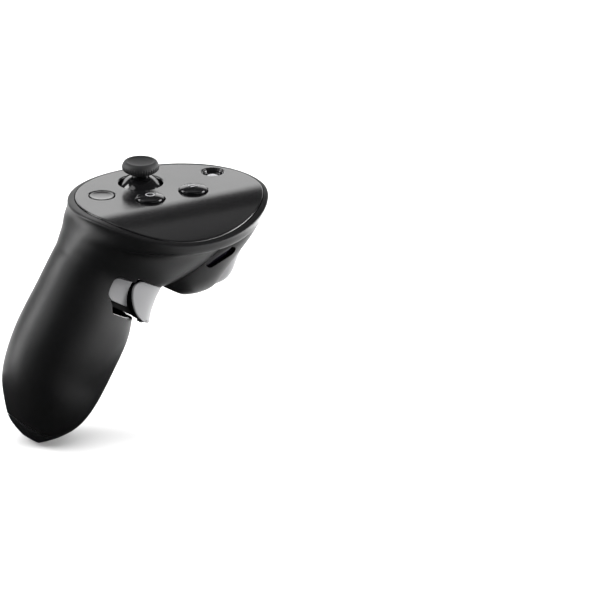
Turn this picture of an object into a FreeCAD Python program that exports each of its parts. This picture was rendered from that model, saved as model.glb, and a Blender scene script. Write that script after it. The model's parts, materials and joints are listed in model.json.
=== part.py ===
import FreeCAD, Part
import math
import os
import Sketcher
from FreeCAD import Placement, Rotation, Vector

# Left-hand motion controller without a tracking ring, in millimetres.
# Row frame: origin at the mouth of the tip socket under the handle.
# +X is forward, +Y is the outer side and +Z is up.
# Face frame: the centre of the flat top plate, axes parallel to the row frame.
# Grip frame: origin at the tip socket, local Z up along the handle, local X towards its front.
SIZES = {
    # Handle
    "tilt": 30.0,
    "grip_length": 66.2,
    "grip_depth": 42.0,
    "grip_width": 34.6,
    "grip_offset": 4.2,
    "wall": 2.0,
    "keel_depth": 4.5,
    "socket_radius": 2.0,
    "socket_length": 8.0,
    "socket_boss": 4.0,
    # Head
    "neck_reach": 30.4,
    "neck_rise": 25.7,
    "head_length": 76.0,
    "head_width": 65.8,
    "head_centre": 1.2,
    "rim_height": 3.0,
    "rim_drop": 0.35,
    "pod_depth": 38.5,
    "bend_start": 6.0,
    "bend_radius": 47.6,
    # Face plate
    "plate_length": 71.0,
    "plate_width": 62.0,
    "plate_thick": 1.6,
    "plate_gap": 0.12,
    "gasket_thick": 0.15,
    "ledge_thick": 1.3,
    "ledge_width": 1.6,
    "hole_chamfer": 0.5,
    # Face buttons
    "rear_x": -8.9,
    "front_x": 9.5,
    "pair_y": -0.6,
    "button_radius": 5.15,
    "button_gap": 0.3,
    "button_rise": 1.9,
    "flange_width": 0.9,
    "flange_thick": 1.0,
    "dome_radius": 3.2,
    "dome_height": 4.4,
    "menu_x": -22.4,
    "menu_y": 11.8,
    "menu_radius": 4.6,
    "menu_dome_radius": 2.4,
    # Sensor in the face plate
    "sensor_x": 25.4,
    "sensor_y": 12.9,
    "sensor_radius": 4.1,
    "lens_radius": 2.4,
    "sensor_depth": 5.6,
    # Thumbstick
    "stick_x": -3.2,
    "stick_y": 16.6,
    "stick_hole": 8.3,
    "pivot_depth": 5.5,
    "skirt_radius": 8.7,
    "skirt_thick": 0.7,
    "cap_radius": 6.9,
    "cap_low": 3.9,
    "cap_thick": 4.7,
    "cap_round": 2.0,
    "dish_radius": 5.3,
    "dish_depth": 0.9,
    "stem_radius": 3.0,
    "shaft_radius": 1.4,
    "shaft_end": 0.35,
    "stem_lift": 1.6,
    "hub_radius": 2.4,
    "hub_height": 3.0,
    "ring_inner": 3.3,
    "ring_outer": 5.0,
    "ring_height": 2.4,
    "trunnion_radius": 0.7,
    "case_inner": 5.9,
    "case_radius": 7.5,
    "case_floor": 1.0,
    "case_drop": 4.4,
    "run_gap": 0.05,
    # Boards and parts inside the head
    "board_thick": 1.0,
    "board_length": 42.0,
    "board_width": 20.0,
    "post_radius": 1.9,
    "post_x": 18.3,
    "post_y": -9.5,
    "screw_radius": 0.9,
    "screw_head": 1.7,
    "screw_head_thick": 1.1,
    "screw_length": 5.5,
    "antenna_y": -20.0,
    "antenna_z": -9.6,
    "haptic_x": 3.0,
    "haptic_z": -26.5,
    "haptic_radius": 3.0,
    "haptic_length": 9.0,
    # Index trigger
    "index_x": 20.0,
    "index_z": -17.5,
    "index_width": 19.6,
    "index_wall": 2.2,
    "index_gap": 0.35,
    "pin_radius": 1.0,
    "boss_radius": 2.4,
    "ear_thick": 1.6,
    # Grip trigger
    "paddle_low": 57.3,
    "paddle_high": 71.4,
    "paddle_x": 15.8,
    "paddle_arc_up": 8.65,
    "paddle_round": 15.5,
    "paddle_end": 1.0,
    "paddle_wall": 2.6,
    "paddle_proud": 4.5,
    "paddle_gap": 0.5,
    "paddle_sweep": 4.2,
    "cheek_low": 60.5,
    "cheek_high": 69.6,
    "cheek_back": -7.2,
    "cheek_depth": 1.3,
    "cheek_gap": 1.0,
    "web_depth": 2.4,
    "web_thick": 1.4,
    "web_back": 4.2,
    "hinge_x": -8.6,
    "hinge_y": -11.9,
    # Side window
    "window_x": 10.5,
    "window_z": -20.4,
    "window_length": 12.4,
    "window_height": 4.2,
    "window_slope": 24.0,
    "window_recess": 0.5,
    # Inside the handle
    "cell_x": -10.5,
    "cell_z": 37.0,
    "cell_thick": 9.0,
    "cell_width": 17.0,
    "cell_length": 34.0,
    "frame_thick": 1.6,
    "frame_width": 24.0,
    "frame_length": 36.0,
    "motor_radius": 4.6,
    "motor_length": 17.0,
    "motor_z": 21.0,
    "contact_radius": 1.1,
    "contact_pitch": 5.0,
    "contact_z": 9.0,
}

# Rings that carry the head into the neck. Each row holds shares of the way from the rim to the neck:
# back x, back z, front x, front z, then the share of the head's extra width and of the plate's bend.
NECK_RINGS = (
    (0.0, 0.0, 0.0, 0.0, 1.0, 0.6),
    (0.18, 0.2, 0.036, 0.14, 0.9, 0.75),
    (0.36, 0.385, 0.17, 0.29, 0.66, 0.6),
    (0.56, 0.59, 0.45, 0.635, 0.4, 0.35),
    (0.78, 0.82, 0.726, 0.867, 0.17, 0.1),
)

# Rings down the handle: share of its length, then back, front and side reach as shares of half the size.
GRIP_RINGS = (
    (0.0, 0.94, 0.91, 1.0),
    (0.2135, 0.95, 0.95, 1.02),
    (0.4219, 0.96, 1.0, 1.06),
    (0.6049, 0.9, 1.0, 1.02),
    (0.7625, 0.72, 0.91, 0.99),
    (0.8763, 0.47, 0.73, 0.81),
    (0.9587, 0.205, 0.46, 0.58),
    (1.0, -0.07, 0.33, 0.3),
)

# Level rings of the pod under the head: back and front as shares of half the head's length,
# depth as a share of the pod's depth, side reach as a share of half the head's width.
POD_RINGS = (
    (0.15, 0.92, 0.08, 0.78),
    (0.1, 0.874, 0.234, 0.72),
    (-0.05, 0.776, 0.442, 0.64),
    (-0.28, 0.671, 0.623, 0.56),
    (-0.32, 0.54, 0.779, 0.517),
    (-0.224, 0.46, 0.909, 0.395),
    (0.0, 0.316, 1.0, 0.18),
)

# Level rings of the index trigger: height below the pivot and forward reach from it, both in the
# face frame as shares of half the trigger's width, and its half width as a share of the same.
INDEX_RINGS = (
    (0.36, 1.1, 0.78),
    (0.0, 1.16, 0.92),
    (-0.55, 0.93, 1.0),
    (-1.0, 0.69, 1.0),
    (-1.42, 0.53, 0.95),
    (-1.8, 0.3, 0.8),
    (-1.99, -0.06, 0.55),
)

# Rings of the grip trigger's paddle: share of its height and how proud it stands of the handle's front,
# as a share of the greatest.
PADDLE_RINGS = ((0.0, 1.4), (0.25, 1.15), (0.5, 1.02), (0.75, 0.96), (1.0, 0.98))

RING_POINTS = 32
SQUARENESS = 2.1
EGG = 0.065
BEND_TURN = 52.0
LONG = 60.0

doc = FreeCAD.newDocument("MotionController")
sheet = doc.addObject("Spreadsheet::Sheet", "Sizes")
for row, (alias, number) in enumerate(SIZES.items(), start=1):
    sheet.set(f"A{row}", alias)
    sheet.set(f"B{row}", str(number))
    sheet.setAlias(f"B{row}", alias)
doc.recompute()

parts = []


def size(alias):
    return float(getattr(sheet, alias))


TILT = math.radians(size("tilt"))
DOWN = Vector(-math.sin(TILT), 0, -math.cos(TILT))
FORE = Vector(math.cos(TILT), 0, -math.sin(TILT))
NECK = -DOWN * size("grip_length") - FORE * size("grip_offset")
FACE = NECK + Vector(size("neck_reach"), 0, size("neck_rise"))
GRIP_PLACE = Placement(Vector(0, 0, 0), Rotation(Vector(0, 1, 0), size("tilt")))
FACE_PLACE = Placement(FACE, Rotation())


# ---------------------------------------------------------------- curves and lofts


def superellipse(turn, power):
    """The two unit coordinates of a rounded oblong at one turn."""
    across = math.cos(turn)
    along = math.sin(turn)
    first = math.copysign(abs(across) ** (2 / power), across)
    second = math.copysign(abs(along) ** (2 / power), along)
    return first, second


def closed_curve(points):
    curve = Part.BSplineCurve()
    curve.interpolate(Points=points, PeriodicFlag=True)
    return Part.Wire(curve.toShape())


def bend(side):
    """Drop of the face surface at one side reach, as it rolls over towards the inner side."""
    past = min(max(0.0, -size("bend_start") - side), size("bend_radius") * 0.8)
    return size("bend_radius") - math.sqrt(size("bend_radius") ** 2 - past**2)


def ring(back, front, reach, inset=0.0, bend_share=0.0):
    """A rounded ring between two points of the middle plane."""
    middle = (back + front) * 0.5
    half = (front - back) * 0.5
    length = half.Length
    unit = half * (1 / length)
    points = []
    for step in range(RING_POINTS):
        first, second = superellipse(2 * math.pi * step / RING_POINTS, SQUARENESS)
        side = (reach - inset) * second
        point = middle + unit * (first * (length - inset)) + Vector(0, side, 0)
        points.append(point - Vector(0, 0, bend_share * bend(side)))
    return closed_curve(points)


def body_loft(inset=0.0):
    """The outer body, handle and head in one, or the same body a wall's thickness in."""
    half_depth = size("grip_depth") / 2
    half_width = size("grip_width") / 2
    extra = size("head_width") / 2 - half_width
    centre = FACE - Vector(size("head_centre"), 0, size("rim_height"))
    rim_back = centre - Vector(size("head_length") / 2, 0, 0)
    rim_front = centre + Vector(size("head_length") / 2, 0, 0)
    neck_back = NECK - FORE * (half_depth * GRIP_RINGS[0][1])
    neck_front = NECK + FORE * (half_depth * GRIP_RINGS[0][2])
    rise = Vector(0, 0, 2 * size("rim_height"))
    wires = [ring(rim_back + rise, rim_front + rise, half_width + extra, inset)]
    for back_x, back_z, front_x, front_z, wide, bent in NECK_RINGS:
        step = neck_back - rim_back
        back = rim_back + Vector(step.x * back_x, 0, step.z * back_z)
        step = neck_front - rim_front
        front = rim_front + Vector(step.x * front_x, 0, step.z * front_z)
        wires.append(ring(back, front, half_width + extra * wide, inset, bent))
    for share, back, front, side in GRIP_RINGS:
        centre = NECK + DOWN * (size("grip_length") * share)
        shy = min(inset, half_width * side * 0.4)
        wires.append(
            ring(
                centre - FORE * (half_depth * back),
                centre + FORE * (half_depth * front),
                half_width * side,
                shy,
            )
        )
    return Part.makeLoft(wires, True, False)


def pod_loft(inset=0.0):
    """The pod under the head that carries the index trigger."""
    half_length = size("head_length") / 2
    half_width = size("head_width") / 2
    wires = []
    for back, front, deep, side in POD_RINGS:
        level = FACE - Vector(0, 0, deep * (size("pod_depth") - inset))
        wires.append(
            ring(
                level + Vector(back * half_length, 0, 0),
                level + Vector(front * half_length, 0, 0),
                side * half_width,
                inset,
            )
        )
    return Part.makeLoft(wires, True, False)


def above_face(lower=0.0):
    """Everything above the face surface, or above a surface parallel to it and lower."""
    flat = FACE.z - lower
    start = -size("bend_start")
    inner_radius = size("bend_radius") - lower
    centre = Vector(0, start, FACE.z - size("bend_radius"))

    def on_arc(degrees):
        turn = math.radians(degrees)
        return centre + Vector(0, -math.sin(turn), math.cos(turn)) * inner_radius

    crest = Vector(0, start, flat)
    far = Vector(0, LONG, flat)
    top_far = Vector(0, LONG, flat + LONG)
    end = on_arc(BEND_TURN)
    top_end = Vector(0, end.y, flat + LONG)
    arc = Part.Arc(crest, on_arc(BEND_TURN / 2), end).toShape()
    corners = (end, top_end, top_far, far, crest)
    edges = [Part.makeLine(a, b) for a, b in zip(corners, corners[1:])]
    outline = Part.Wire([arc] + edges)
    block = Part.Face(outline).extrude(Vector(4 * LONG, 0, 0))
    block.translate(Vector(FACE.x - 2 * LONG, 0, 0))
    return block


def plate_prism(grow, low, high):
    """An upright prism on the face plate's egg-shaped outline."""
    half_length = size("plate_length") / 2
    half_width = size("plate_width") / 2
    points = []
    for step in range(RING_POINTS):
        first, second = superellipse(2 * math.pi * step / RING_POINTS, SQUARENESS)
        along = (half_length + grow) * first
        across = (half_width + grow) * second * (1 - EGG * first)
        points.append(FACE + Vector(along, across, low))
    return Part.Face(closed_curve(points)).extrude(Vector(0, 0, high - low))


def upright(radius, east, north, low, high):
    """An upright round bar in the face frame."""
    return Part.makeCylinder(radius, high - low, FACE + Vector(east, north, low))


def crosswise(radius, east, up, start, end):
    """A round bar across the head, parallel to Y, in the face frame."""
    return Part.makeCylinder(radius, end - start, FACE + Vector(east, start, up), Vector(0, 1, 0))


def face_block(low, high):
    """A box between two corners in the face frame."""
    step = high - low
    return Part.makeBox(step.x, step.y, step.z, FACE + low)


def grip_block(low, high):
    """A box between two corners in the grip frame."""
    step = high - low
    block = Part.makeBox(step.x, step.y, step.z, low)
    block.transformShape(GRIP_PLACE.toMatrix())
    return block


def grip_bar(radius, start, end):
    """A round bar between two points of the grip frame."""
    step = end - start
    bar = Part.makeCylinder(radius, step.Length, start, step)
    bar.transformShape(GRIP_PLACE.toMatrix())
    return bar


# ---------------------------------------------------------------- document objects


def finished(label, shape):
    """A sub-part whose shape comes from lofts and booleans."""
    solids = [solid for solid in shape.Solids if solid.Volume > 1.0]
    solid = solids[0] if len(solids) == 1 else Part.makeCompound(solids)
    item = doc.addObject("Part::Feature", label)
    item.Label = label
    item.Shape = solid
    item.Placement = solid.Placement
    parts.append(item)
    return solid


def place_in_face(item, east, north, up):
    item.setExpression("Placement.Base.x", f"{FACE.x} + {east}")
    item.setExpression("Placement.Base.y", north)
    item.setExpression("Placement.Base.z", f"{FACE.z} + {up}")


def place_in_grip(item, fore, side, up):
    item.Placement = Placement(Vector(0, 0, 0), Rotation(Vector(0, 1, 0), size("tilt")))
    turned = "Sizes.tilt * 1 deg"
    item.setExpression("Placement.Base.x", f"({fore}) * cos({turned}) + ({up}) * sin({turned})")
    item.setExpression("Placement.Base.y", side)
    item.setExpression("Placement.Base.z", f"({up}) * cos({turned}) - ({fore}) * sin({turned})")


def bind(sketch, kind, *values):
    """Adds one constraint and ties its value to an expression."""
    *where, expression = values
    number = sketch.addConstraint(Sketcher.Constraint(kind, *where, 1.0))
    sketch.setExpression(f"Constraints[{number}]", expression)


def draw_disc(sketch, radius):
    index = sketch.addGeometry(Part.Circle(Vector(0, 0, 0), Vector(0, 0, 1), 1.0))
    sketch.addConstraint(Sketcher.Constraint("Coincident", index, 3, -1, 1))
    bind(sketch, "Radius", index, radius)


def draw_block(sketch, along, across):
    """A rectangle about the sketch's origin."""
    corners = (Vector(-1, -1, 0), Vector(1, -1, 0), Vector(1, 1, 0), Vector(-1, 1, 0))
    first = sketch.GeometryCount
    for number in range(4):
        sketch.addGeometry(Part.LineSegment(corners[number], corners[(number + 1) % 4]))
    for number in range(4):
        after = first + (number + 1) % 4
        sketch.addConstraint(Sketcher.Constraint("Coincident", first + number, 2, after, 1))
    for number in (0, 2):
        sketch.addConstraint(Sketcher.Constraint("Horizontal", first + number))
        sketch.addConstraint(Sketcher.Constraint("Vertical", first + number + 1))
    sketch.addConstraint(Sketcher.Constraint("Symmetric", first, 1, first + 1, 2, -1, 1))
    bind(sketch, "DistanceX", first, 1, first, 2, along)
    bind(sketch, "DistanceY", first + 1, 1, first + 1, 2, across)


def origin_plane(body, role):
    for feature in body.Origin.OriginFeatures:
        if feature.Role == role:
            return feature
    raise RuntimeError(f"{body.Label} has no {role}")


def add_layer(body, number, layer):
    """One pad or pocket of a layered body: kind, outline, level of its sketch, height, and x and y."""
    kind, outline, level, height, *shift = layer
    sketch = body.newObject("Sketcher::SketchObject", f"{body.Label}_sketch_{number}")
    sketch.AttachmentSupport = [(origin_plane(body, "XY_Plane"), "")]
    sketch.MapMode = "FlatFace"
    sketch.setExpression("AttachmentOffset.Base.z", level)
    if shift:
        sketch.setExpression("AttachmentOffset.Base.x", shift[0])
        sketch.setExpression("AttachmentOffset.Base.y", shift[1])
    shape, *lengths = outline
    if shape == "disc":
        draw_disc(sketch, *lengths)
    else:
        draw_block(sketch, *lengths)
    feature = body.newObject(f"PartDesign::{kind}", f"{body.Label}_{kind}_{number}")
    feature.Profile = sketch
    feature.setExpression("Length", height)
    doc.recompute()
    return feature


def layered(label, *layers):
    """A body made of pads and pockets on level sketches."""
    body = doc.addObject("PartDesign::Body", label)
    body.Label = label
    volume = 0.0
    for number, layer in enumerate(layers):
        feature = add_layer(body, number, layer)
        grew = feature.Shape.Volume > volume
        if grew != (layer[0] == "Pad"):
            raise RuntimeError(f"{label}: layer {number} did not do its work")
        volume = feature.Shape.Volume
    parts.append(body)
    return body


def round_top(body, radius):
    """Rounds the highest round edge of a layered body."""
    tip = body.Tip
    edges = enumerate(tip.Shape.Edges, start=1)
    rings = [(edge.BoundBox.ZMin, edge.Length, number) for number, edge in edges if edge.Closed]
    number = max(rings)[2]
    fillet = body.newObject("PartDesign::Fillet", f"{body.Label}_round")
    fillet.Base = (tip, [f"Edge{number}"])
    fillet.setExpression("Radius", radius)
    doc.recompute()


def boolean(kind, label, base, tool):
    item = doc.addObject(f"Part::{kind}", label)
    item.Label = label
    item.Base = base
    item.Tool = tool
    for used in (base, tool):
        if used in parts:
            parts.remove(used)
    parts.append(item)
    return item


def primitive(kind, label, **expressions):
    item = doc.addObject(f"Part::{kind}", label)
    item.Label = label
    for name, expression in expressions.items():
        item.setExpression(name, expression)
    return item


# ---------------------------------------------------------------- casings

OUTER = body_loft()
INNER = body_loft(size("wall"))
POD = pod_loft()
POD_INNER = pod_loft(size("wall"))


def keel_zone():
    """The front and bottom of the handle, in front of and under a line a keel's depth in."""
    half_depth = size("grip_depth") / 2
    deep = size("keel_depth")
    high = size("paddle_low") - size("paddle_gap")
    points = []
    for share, _, front, _ in GRIP_RINGS[1:6]:
        fore = half_depth * front - size("grip_offset") - deep * (1 + 0.35 * share**4)
        points.append(Vector(fore, 0, size("grip_length") * (1 - share)))
    points[0].z = high
    points.append(Vector(0, 0, deep * 1.05))
    points.append(Vector(-0.3 * half_depth, 0, deep * 0.95))
    points.append(Vector(-0.65 * half_depth, 0, deep * 1.25))
    points.append(Vector(-1.25 * half_depth, 0, deep * 2.6))
    curve = Part.BSplineCurve()
    curve.interpolate(Points=points)
    low_back = Vector(points[-1].x, 0, -LONG)
    low_front = Vector(LONG, 0, -LONG)
    high_front = Vector(LONG, 0, high)
    corners = (points[-1], low_back, low_front, high_front, points[0])
    edges = [Part.makeLine(a, b) for a, b in zip(corners, corners[1:])]
    zone = Part.Face(Part.Wire([curve.toShape()] + edges)).extrude(Vector(0, 2 * LONG, 0))
    zone.translate(Vector(0, -LONG, 0))
    zone.transformShape(GRIP_PLACE.toMatrix())
    return zone


def paddle_outline(grow, low_grow, high_grow):
    """The grip trigger's outline seen from the inner side: a strip with a round back end."""
    low = size("paddle_low") - low_grow
    high = size("paddle_high") + high_grow
    middle = (size("paddle_low") + size("paddle_high")) / 2 + size("paddle_arc_up")
    strip = grip_block(Vector(size("paddle_x"), -LONG, low), Vector(LONG, LONG, high))
    start = Vector(size("paddle_x"), -LONG, middle)
    disc = grip_bar(size("paddle_round") + grow, start, start + Vector(0, 2 * LONG, 0))
    slab = grip_block(Vector(-LONG, -LONG, low), Vector(LONG, LONG, high))
    return strip.fuse(disc.common(slab))


def cheek_box(grow, deep):
    low = Vector(size("cheek_back") - grow, -LONG, size("cheek_low") - grow)
    high = Vector(size("paddle_x"), deep, size("cheek_high") + grow)
    return grip_block(low, high)


def trigger_opening():
    """The mouth in the pod's front that the index trigger moves in."""
    half = size("index_width") / 2
    gap = size("index_gap")
    low = Vector(size("index_x") - 1.3 * half, -half - gap, size("index_z") - 2.12 * half)
    high = Vector(LONG, half + gap, size("index_z") + 0.42 * half)
    return face_block(low, high)


def window_bar(grow=0.0):
    """A bar with round ends that pierces the pod's inner side wall."""
    height = size("window_height") + 2 * grow
    length = size("window_length") + 2 * grow
    straight = length - height
    bar = Part.makeBox(straight, LONG, height, Vector(-straight / 2, 0, -height / 2))
    for end in (-straight / 2, straight / 2):
        bar = bar.fuse(Part.makeCylinder(height / 2, LONG, Vector(end, 0, 0), Vector(0, 1, 0)))
    bar.rotate(Vector(0, 0, 0), Vector(0, 1, 0), -size("window_slope"))
    bar.translate(FACE + Vector(size("window_x"), -LONG - 5, size("window_z")))
    return bar


def pocket_tool():
    """Room for the grip trigger: the gap round it and the swing of its front end."""
    room = paddle_outline(size("paddle_gap"), size("paddle_gap") + 0.6, size("paddle_gap"))
    half = size("paddle_end") + size("paddle_sweep")
    inner_half = grip_block(Vector(-LONG, -LONG, -LONG), Vector(LONG, half, 2 * LONG))
    foot_low = Vector(size("cheek_back") + 3.5, -LONG, size("paddle_low") - size("paddle_gap") - 0.6)
    foot = grip_block(foot_low, Vector(size("paddle_x"), 0, size("cheek_low")))
    return room.common(inner_half).fuse(cheek_box(size("paddle_gap") * 0.8, 0)).fuse(foot)


def make_casings():
    seat = size("plate_thick") + size("gasket_thick")
    hollow = INNER.cut(above_face(size("rim_drop") + seat + size("ledge_thick")))
    shell = OUTER.cut(above_face(size("rim_drop"))).cut(hollow)
    pocket = plate_prism(size("plate_gap"), -LONG / 2, LONG / 4).common(above_face(seat))
    throat = plate_prism(-size("ledge_width"), -LONG / 2, LONG / 4)
    throat = throat.common(above_face(seat + 2 * size("ledge_thick")))
    mouth = pod_loft(size("wall") + 1.0).cut(above_face(size("pod_depth") * 0.3))
    shell = shell.cut(pocket).cut(throat).cut(mouth)
    zone = keel_zone()
    keel = shell.common(zone)
    shell = shell.cut(zone).cut(pocket_tool())
    finished("grip_shell", max(shell.Solids, key=lambda solid: solid.Volume))
    gasket = plate_prism(-0.2, -LONG / 2, LONG / 4).cut(plate_prism(-size("ledge_width"), -LONG, LONG))
    gasket = gasket.cut(above_face(size("plate_thick"))).common(above_face(seat))
    finished("plate_gasket", gasket)

    boss = grip_bar(size("socket_boss"), Vector(0, 0, 0), Vector(0, 0, size("socket_length") + 1.5))
    keel = keel.fuse(boss.common(OUTER))
    bore = grip_bar(size("socket_radius"), Vector(0, 0, -1), Vector(0, 0, size("socket_length")))
    keel = keel.cut(bore)
    for side in (-1, 0, 1):
        keel = keel.cut(contact_bar(side))
    finished("keel_cover", max(keel.Solids, key=lambda solid: solid.Volume))

    cover = POD.cut(OUTER).cut(POD_INNER).cut(trigger_opening()).cut(window_bar())
    cover = cover.cut(above_face(size("pod_depth") * 0.2)).cut(pocket_tool())
    finished("front_cover", max(cover.Solids, key=lambda solid: solid.Volume))
    glass = window_bar().common(pod_loft(size("window_recess"))).cut(POD_INNER).cut(OUTER)
    finished("side_window", glass)


def contact_bar(side):
    """One charging contact's bar, square to the keel's front."""
    at = Vector(0, side * size("contact_pitch"), size("contact_z"))
    return grip_bar(size("contact_radius"), at, at + Vector(LONG / 2, 0, 0))


def make_contacts():
    pins = []
    for side in (-1, 0, 1):
        pin = contact_bar(side).common(OUTER)
        pins.append(pin.cut(body_loft(size("wall") + 0.8)))
    finished("charge_contacts", Part.makeCompound(pins))


def make_face_plate():
    plate = plate_prism(0, -LONG / 2, LONG / 4).cut(above_face())
    plate = plate.common(above_face(size("plate_thick")))
    gap = size("button_gap")
    holes = (
        (size("rear_x"), size("pair_y"), size("button_radius") + gap),
        (size("front_x"), size("pair_y"), size("button_radius") + gap),
        (size("menu_x"), size("menu_y"), size("menu_radius") + gap),
        (size("sensor_x"), size("sensor_y"), size("sensor_radius")),
        (size("stick_x"), size("stick_y"), size("stick_hole")),
    )
    bevel = size("hole_chamfer")
    for east, north, radius in holes:
        plate = plate.cut(upright(radius, east, north, -LONG / 4, LONG / 4))
        top = FACE + Vector(east, north, -bevel)
        plate = plate.cut(Part.makeCone(radius, radius + bevel, bevel, top))
    top = -size("plate_thick") * 0.75
    under = dome_floor()
    screws = []
    for east in (-size("post_x"), 0, size("post_x")):
        north = size("post_y")
        plate = plate.fuse(upright(size("post_radius"), east, north, under, top))
        low = under - size("board_thick")
        screw = upright(size("screw_radius"), east, north, low, low + size("screw_length"))
        plate = plate.cut(screw)
        head = upright(size("screw_head"), east, north, low - size("screw_head_thick"), low)
        screws.append(screw.fuse(head))
    finished("face_plate", plate)
    finished("board_screws", Part.makeCompound(screws))
    board = face_board(under)
    for screw in screws:
        board = board.cut(screw)
    finished("button_board", board)


def dome_floor():
    """Level of the silicone domes' feet, which is the top of the button board."""
    return -(size("plate_thick") + size("flange_thick") + 0.1 + size("dome_height"))


def face_board(top):
    """The button board: a strip under the key pair with a tab that reaches the menu key."""
    half_length = size("board_length") / 2
    half_width = size("board_width") / 2
    low = top - size("board_thick")
    middle = size("pair_y") - 2.5
    strip = face_block(
        Vector(-half_length, middle - half_width, low),
        Vector(half_length, middle + half_width, top),
    )
    reach = size("menu_radius") + 2
    tab = face_block(
        Vector(size("menu_x") - reach, middle, low),
        Vector(size("menu_x") + reach, size("menu_y") + reach * 0.6, top),
    )
    return strip.fuse(tab).removeSplitter()


# ---------------------------------------------------------------- buttons and sensor


def make_button(label, east, north, radius, rise, low):
    """A button: a flange under the plate and a round key through it."""
    flange = f"{radius} + Sizes.flange_width"
    key_low = f"{low} + Sizes.flange_thick / 2"
    key = layered(
        label,
        ("Pad", ("disc", flange), low, "Sizes.flange_thick"),
        ("Pad", ("disc", radius), key_low, f"{rise} - ({key_low})"),
    )
    place_in_face(key, east, north, "0")
    round_top(key, "0.6")
    return key


def make_buttons():
    low = "-(Sizes.plate_thick + Sizes.flange_thick + 0.1)"
    for label, east in (("rear_button", "Sizes.rear_x"), ("front_button", "Sizes.front_x")):
        make_button(label, east, "Sizes.pair_y", "Sizes.button_radius", "Sizes.button_rise", low)
        dome = primitive(
            "Cone",
            label.replace("button", "dome"),
            Radius1="Sizes.dome_radius",
            Radius2="Sizes.dome_radius * 0.65",
            Height="Sizes.dome_height",
        )
        place_in_face(dome, east, "Sizes.pair_y", f"{low} - Sizes.dome_height")
        parts.append(dome)
    make_button("menu_button", "Sizes.menu_x", "Sizes.menu_y", "Sizes.menu_radius", "0", low)
    dome = primitive(
        "Cone",
        "menu_dome",
        Radius1="Sizes.menu_dome_radius",
        Radius2="Sizes.menu_dome_radius * 0.65",
        Height="Sizes.dome_height",
    )
    place_in_face(dome, "Sizes.menu_x", "Sizes.menu_y", f"{low} - Sizes.dome_height")
    parts.append(dome)


def make_sensor():
    cup = layered(
        "sensor_cup",
        ("Pad", ("disc", "Sizes.sensor_radius"), "-(Sizes.plate_thick + 0.9)", "Sizes.plate_thick + 0.4"),
        ("Pocket", ("disc", "Sizes.sensor_radius - 0.7"), "0", "1.5"),
        ("Pocket", ("disc", "Sizes.lens_radius"), "0", "Sizes.sensor_depth"),
    )
    place_in_face(cup, "Sizes.sensor_x", "Sizes.sensor_y", "0")
    lens = layered(
        "sensor_lens",
        ("Pad", ("disc", "Sizes.lens_radius"), "-(Sizes.plate_thick + 0.9)", "1.4"),
    )
    round_top(lens, "0.5")
    place_in_face(lens, "Sizes.sensor_x", "Sizes.sensor_y", "0")
    tall = "Sizes.sensor_depth - Sizes.plate_thick - 0.9"
    module = layered(
        "sensor_module",
        ("Pad", ("disc", "Sizes.sensor_radius - 0.6"), "-Sizes.sensor_depth", tall),
    )
    place_in_face(module, "Sizes.sensor_x", "Sizes.sensor_y", "0")
    board = layered("sensor_board", ("Pad", ("block", "6.6", "5.6"), "-Sizes.sensor_depth - 0.8", "0.8"))
    place_in_face(board, "Sizes.sensor_x - 1", "Sizes.sensor_y - 1", "0")


# ---------------------------------------------------------------- thumbstick


def place_at_pivot(item, up="0"):
    place_in_face(item, "Sizes.stick_x", "Sizes.stick_y", f"{up} - Sizes.pivot_depth")


def pivot():
    return FACE + Vector(size("stick_x"), size("stick_y"), -size("pivot_depth"))


def trunnions(direction, start, end, radius):
    """A pair of short pins out of the pivot along one direction."""
    pins = []
    for sign in (-1, 1):
        way = direction * sign
        pins.append(Part.makeCylinder(radius, end - start, pivot() + way * start, way))
    return pins[0].fuse(pins[1])


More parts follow.
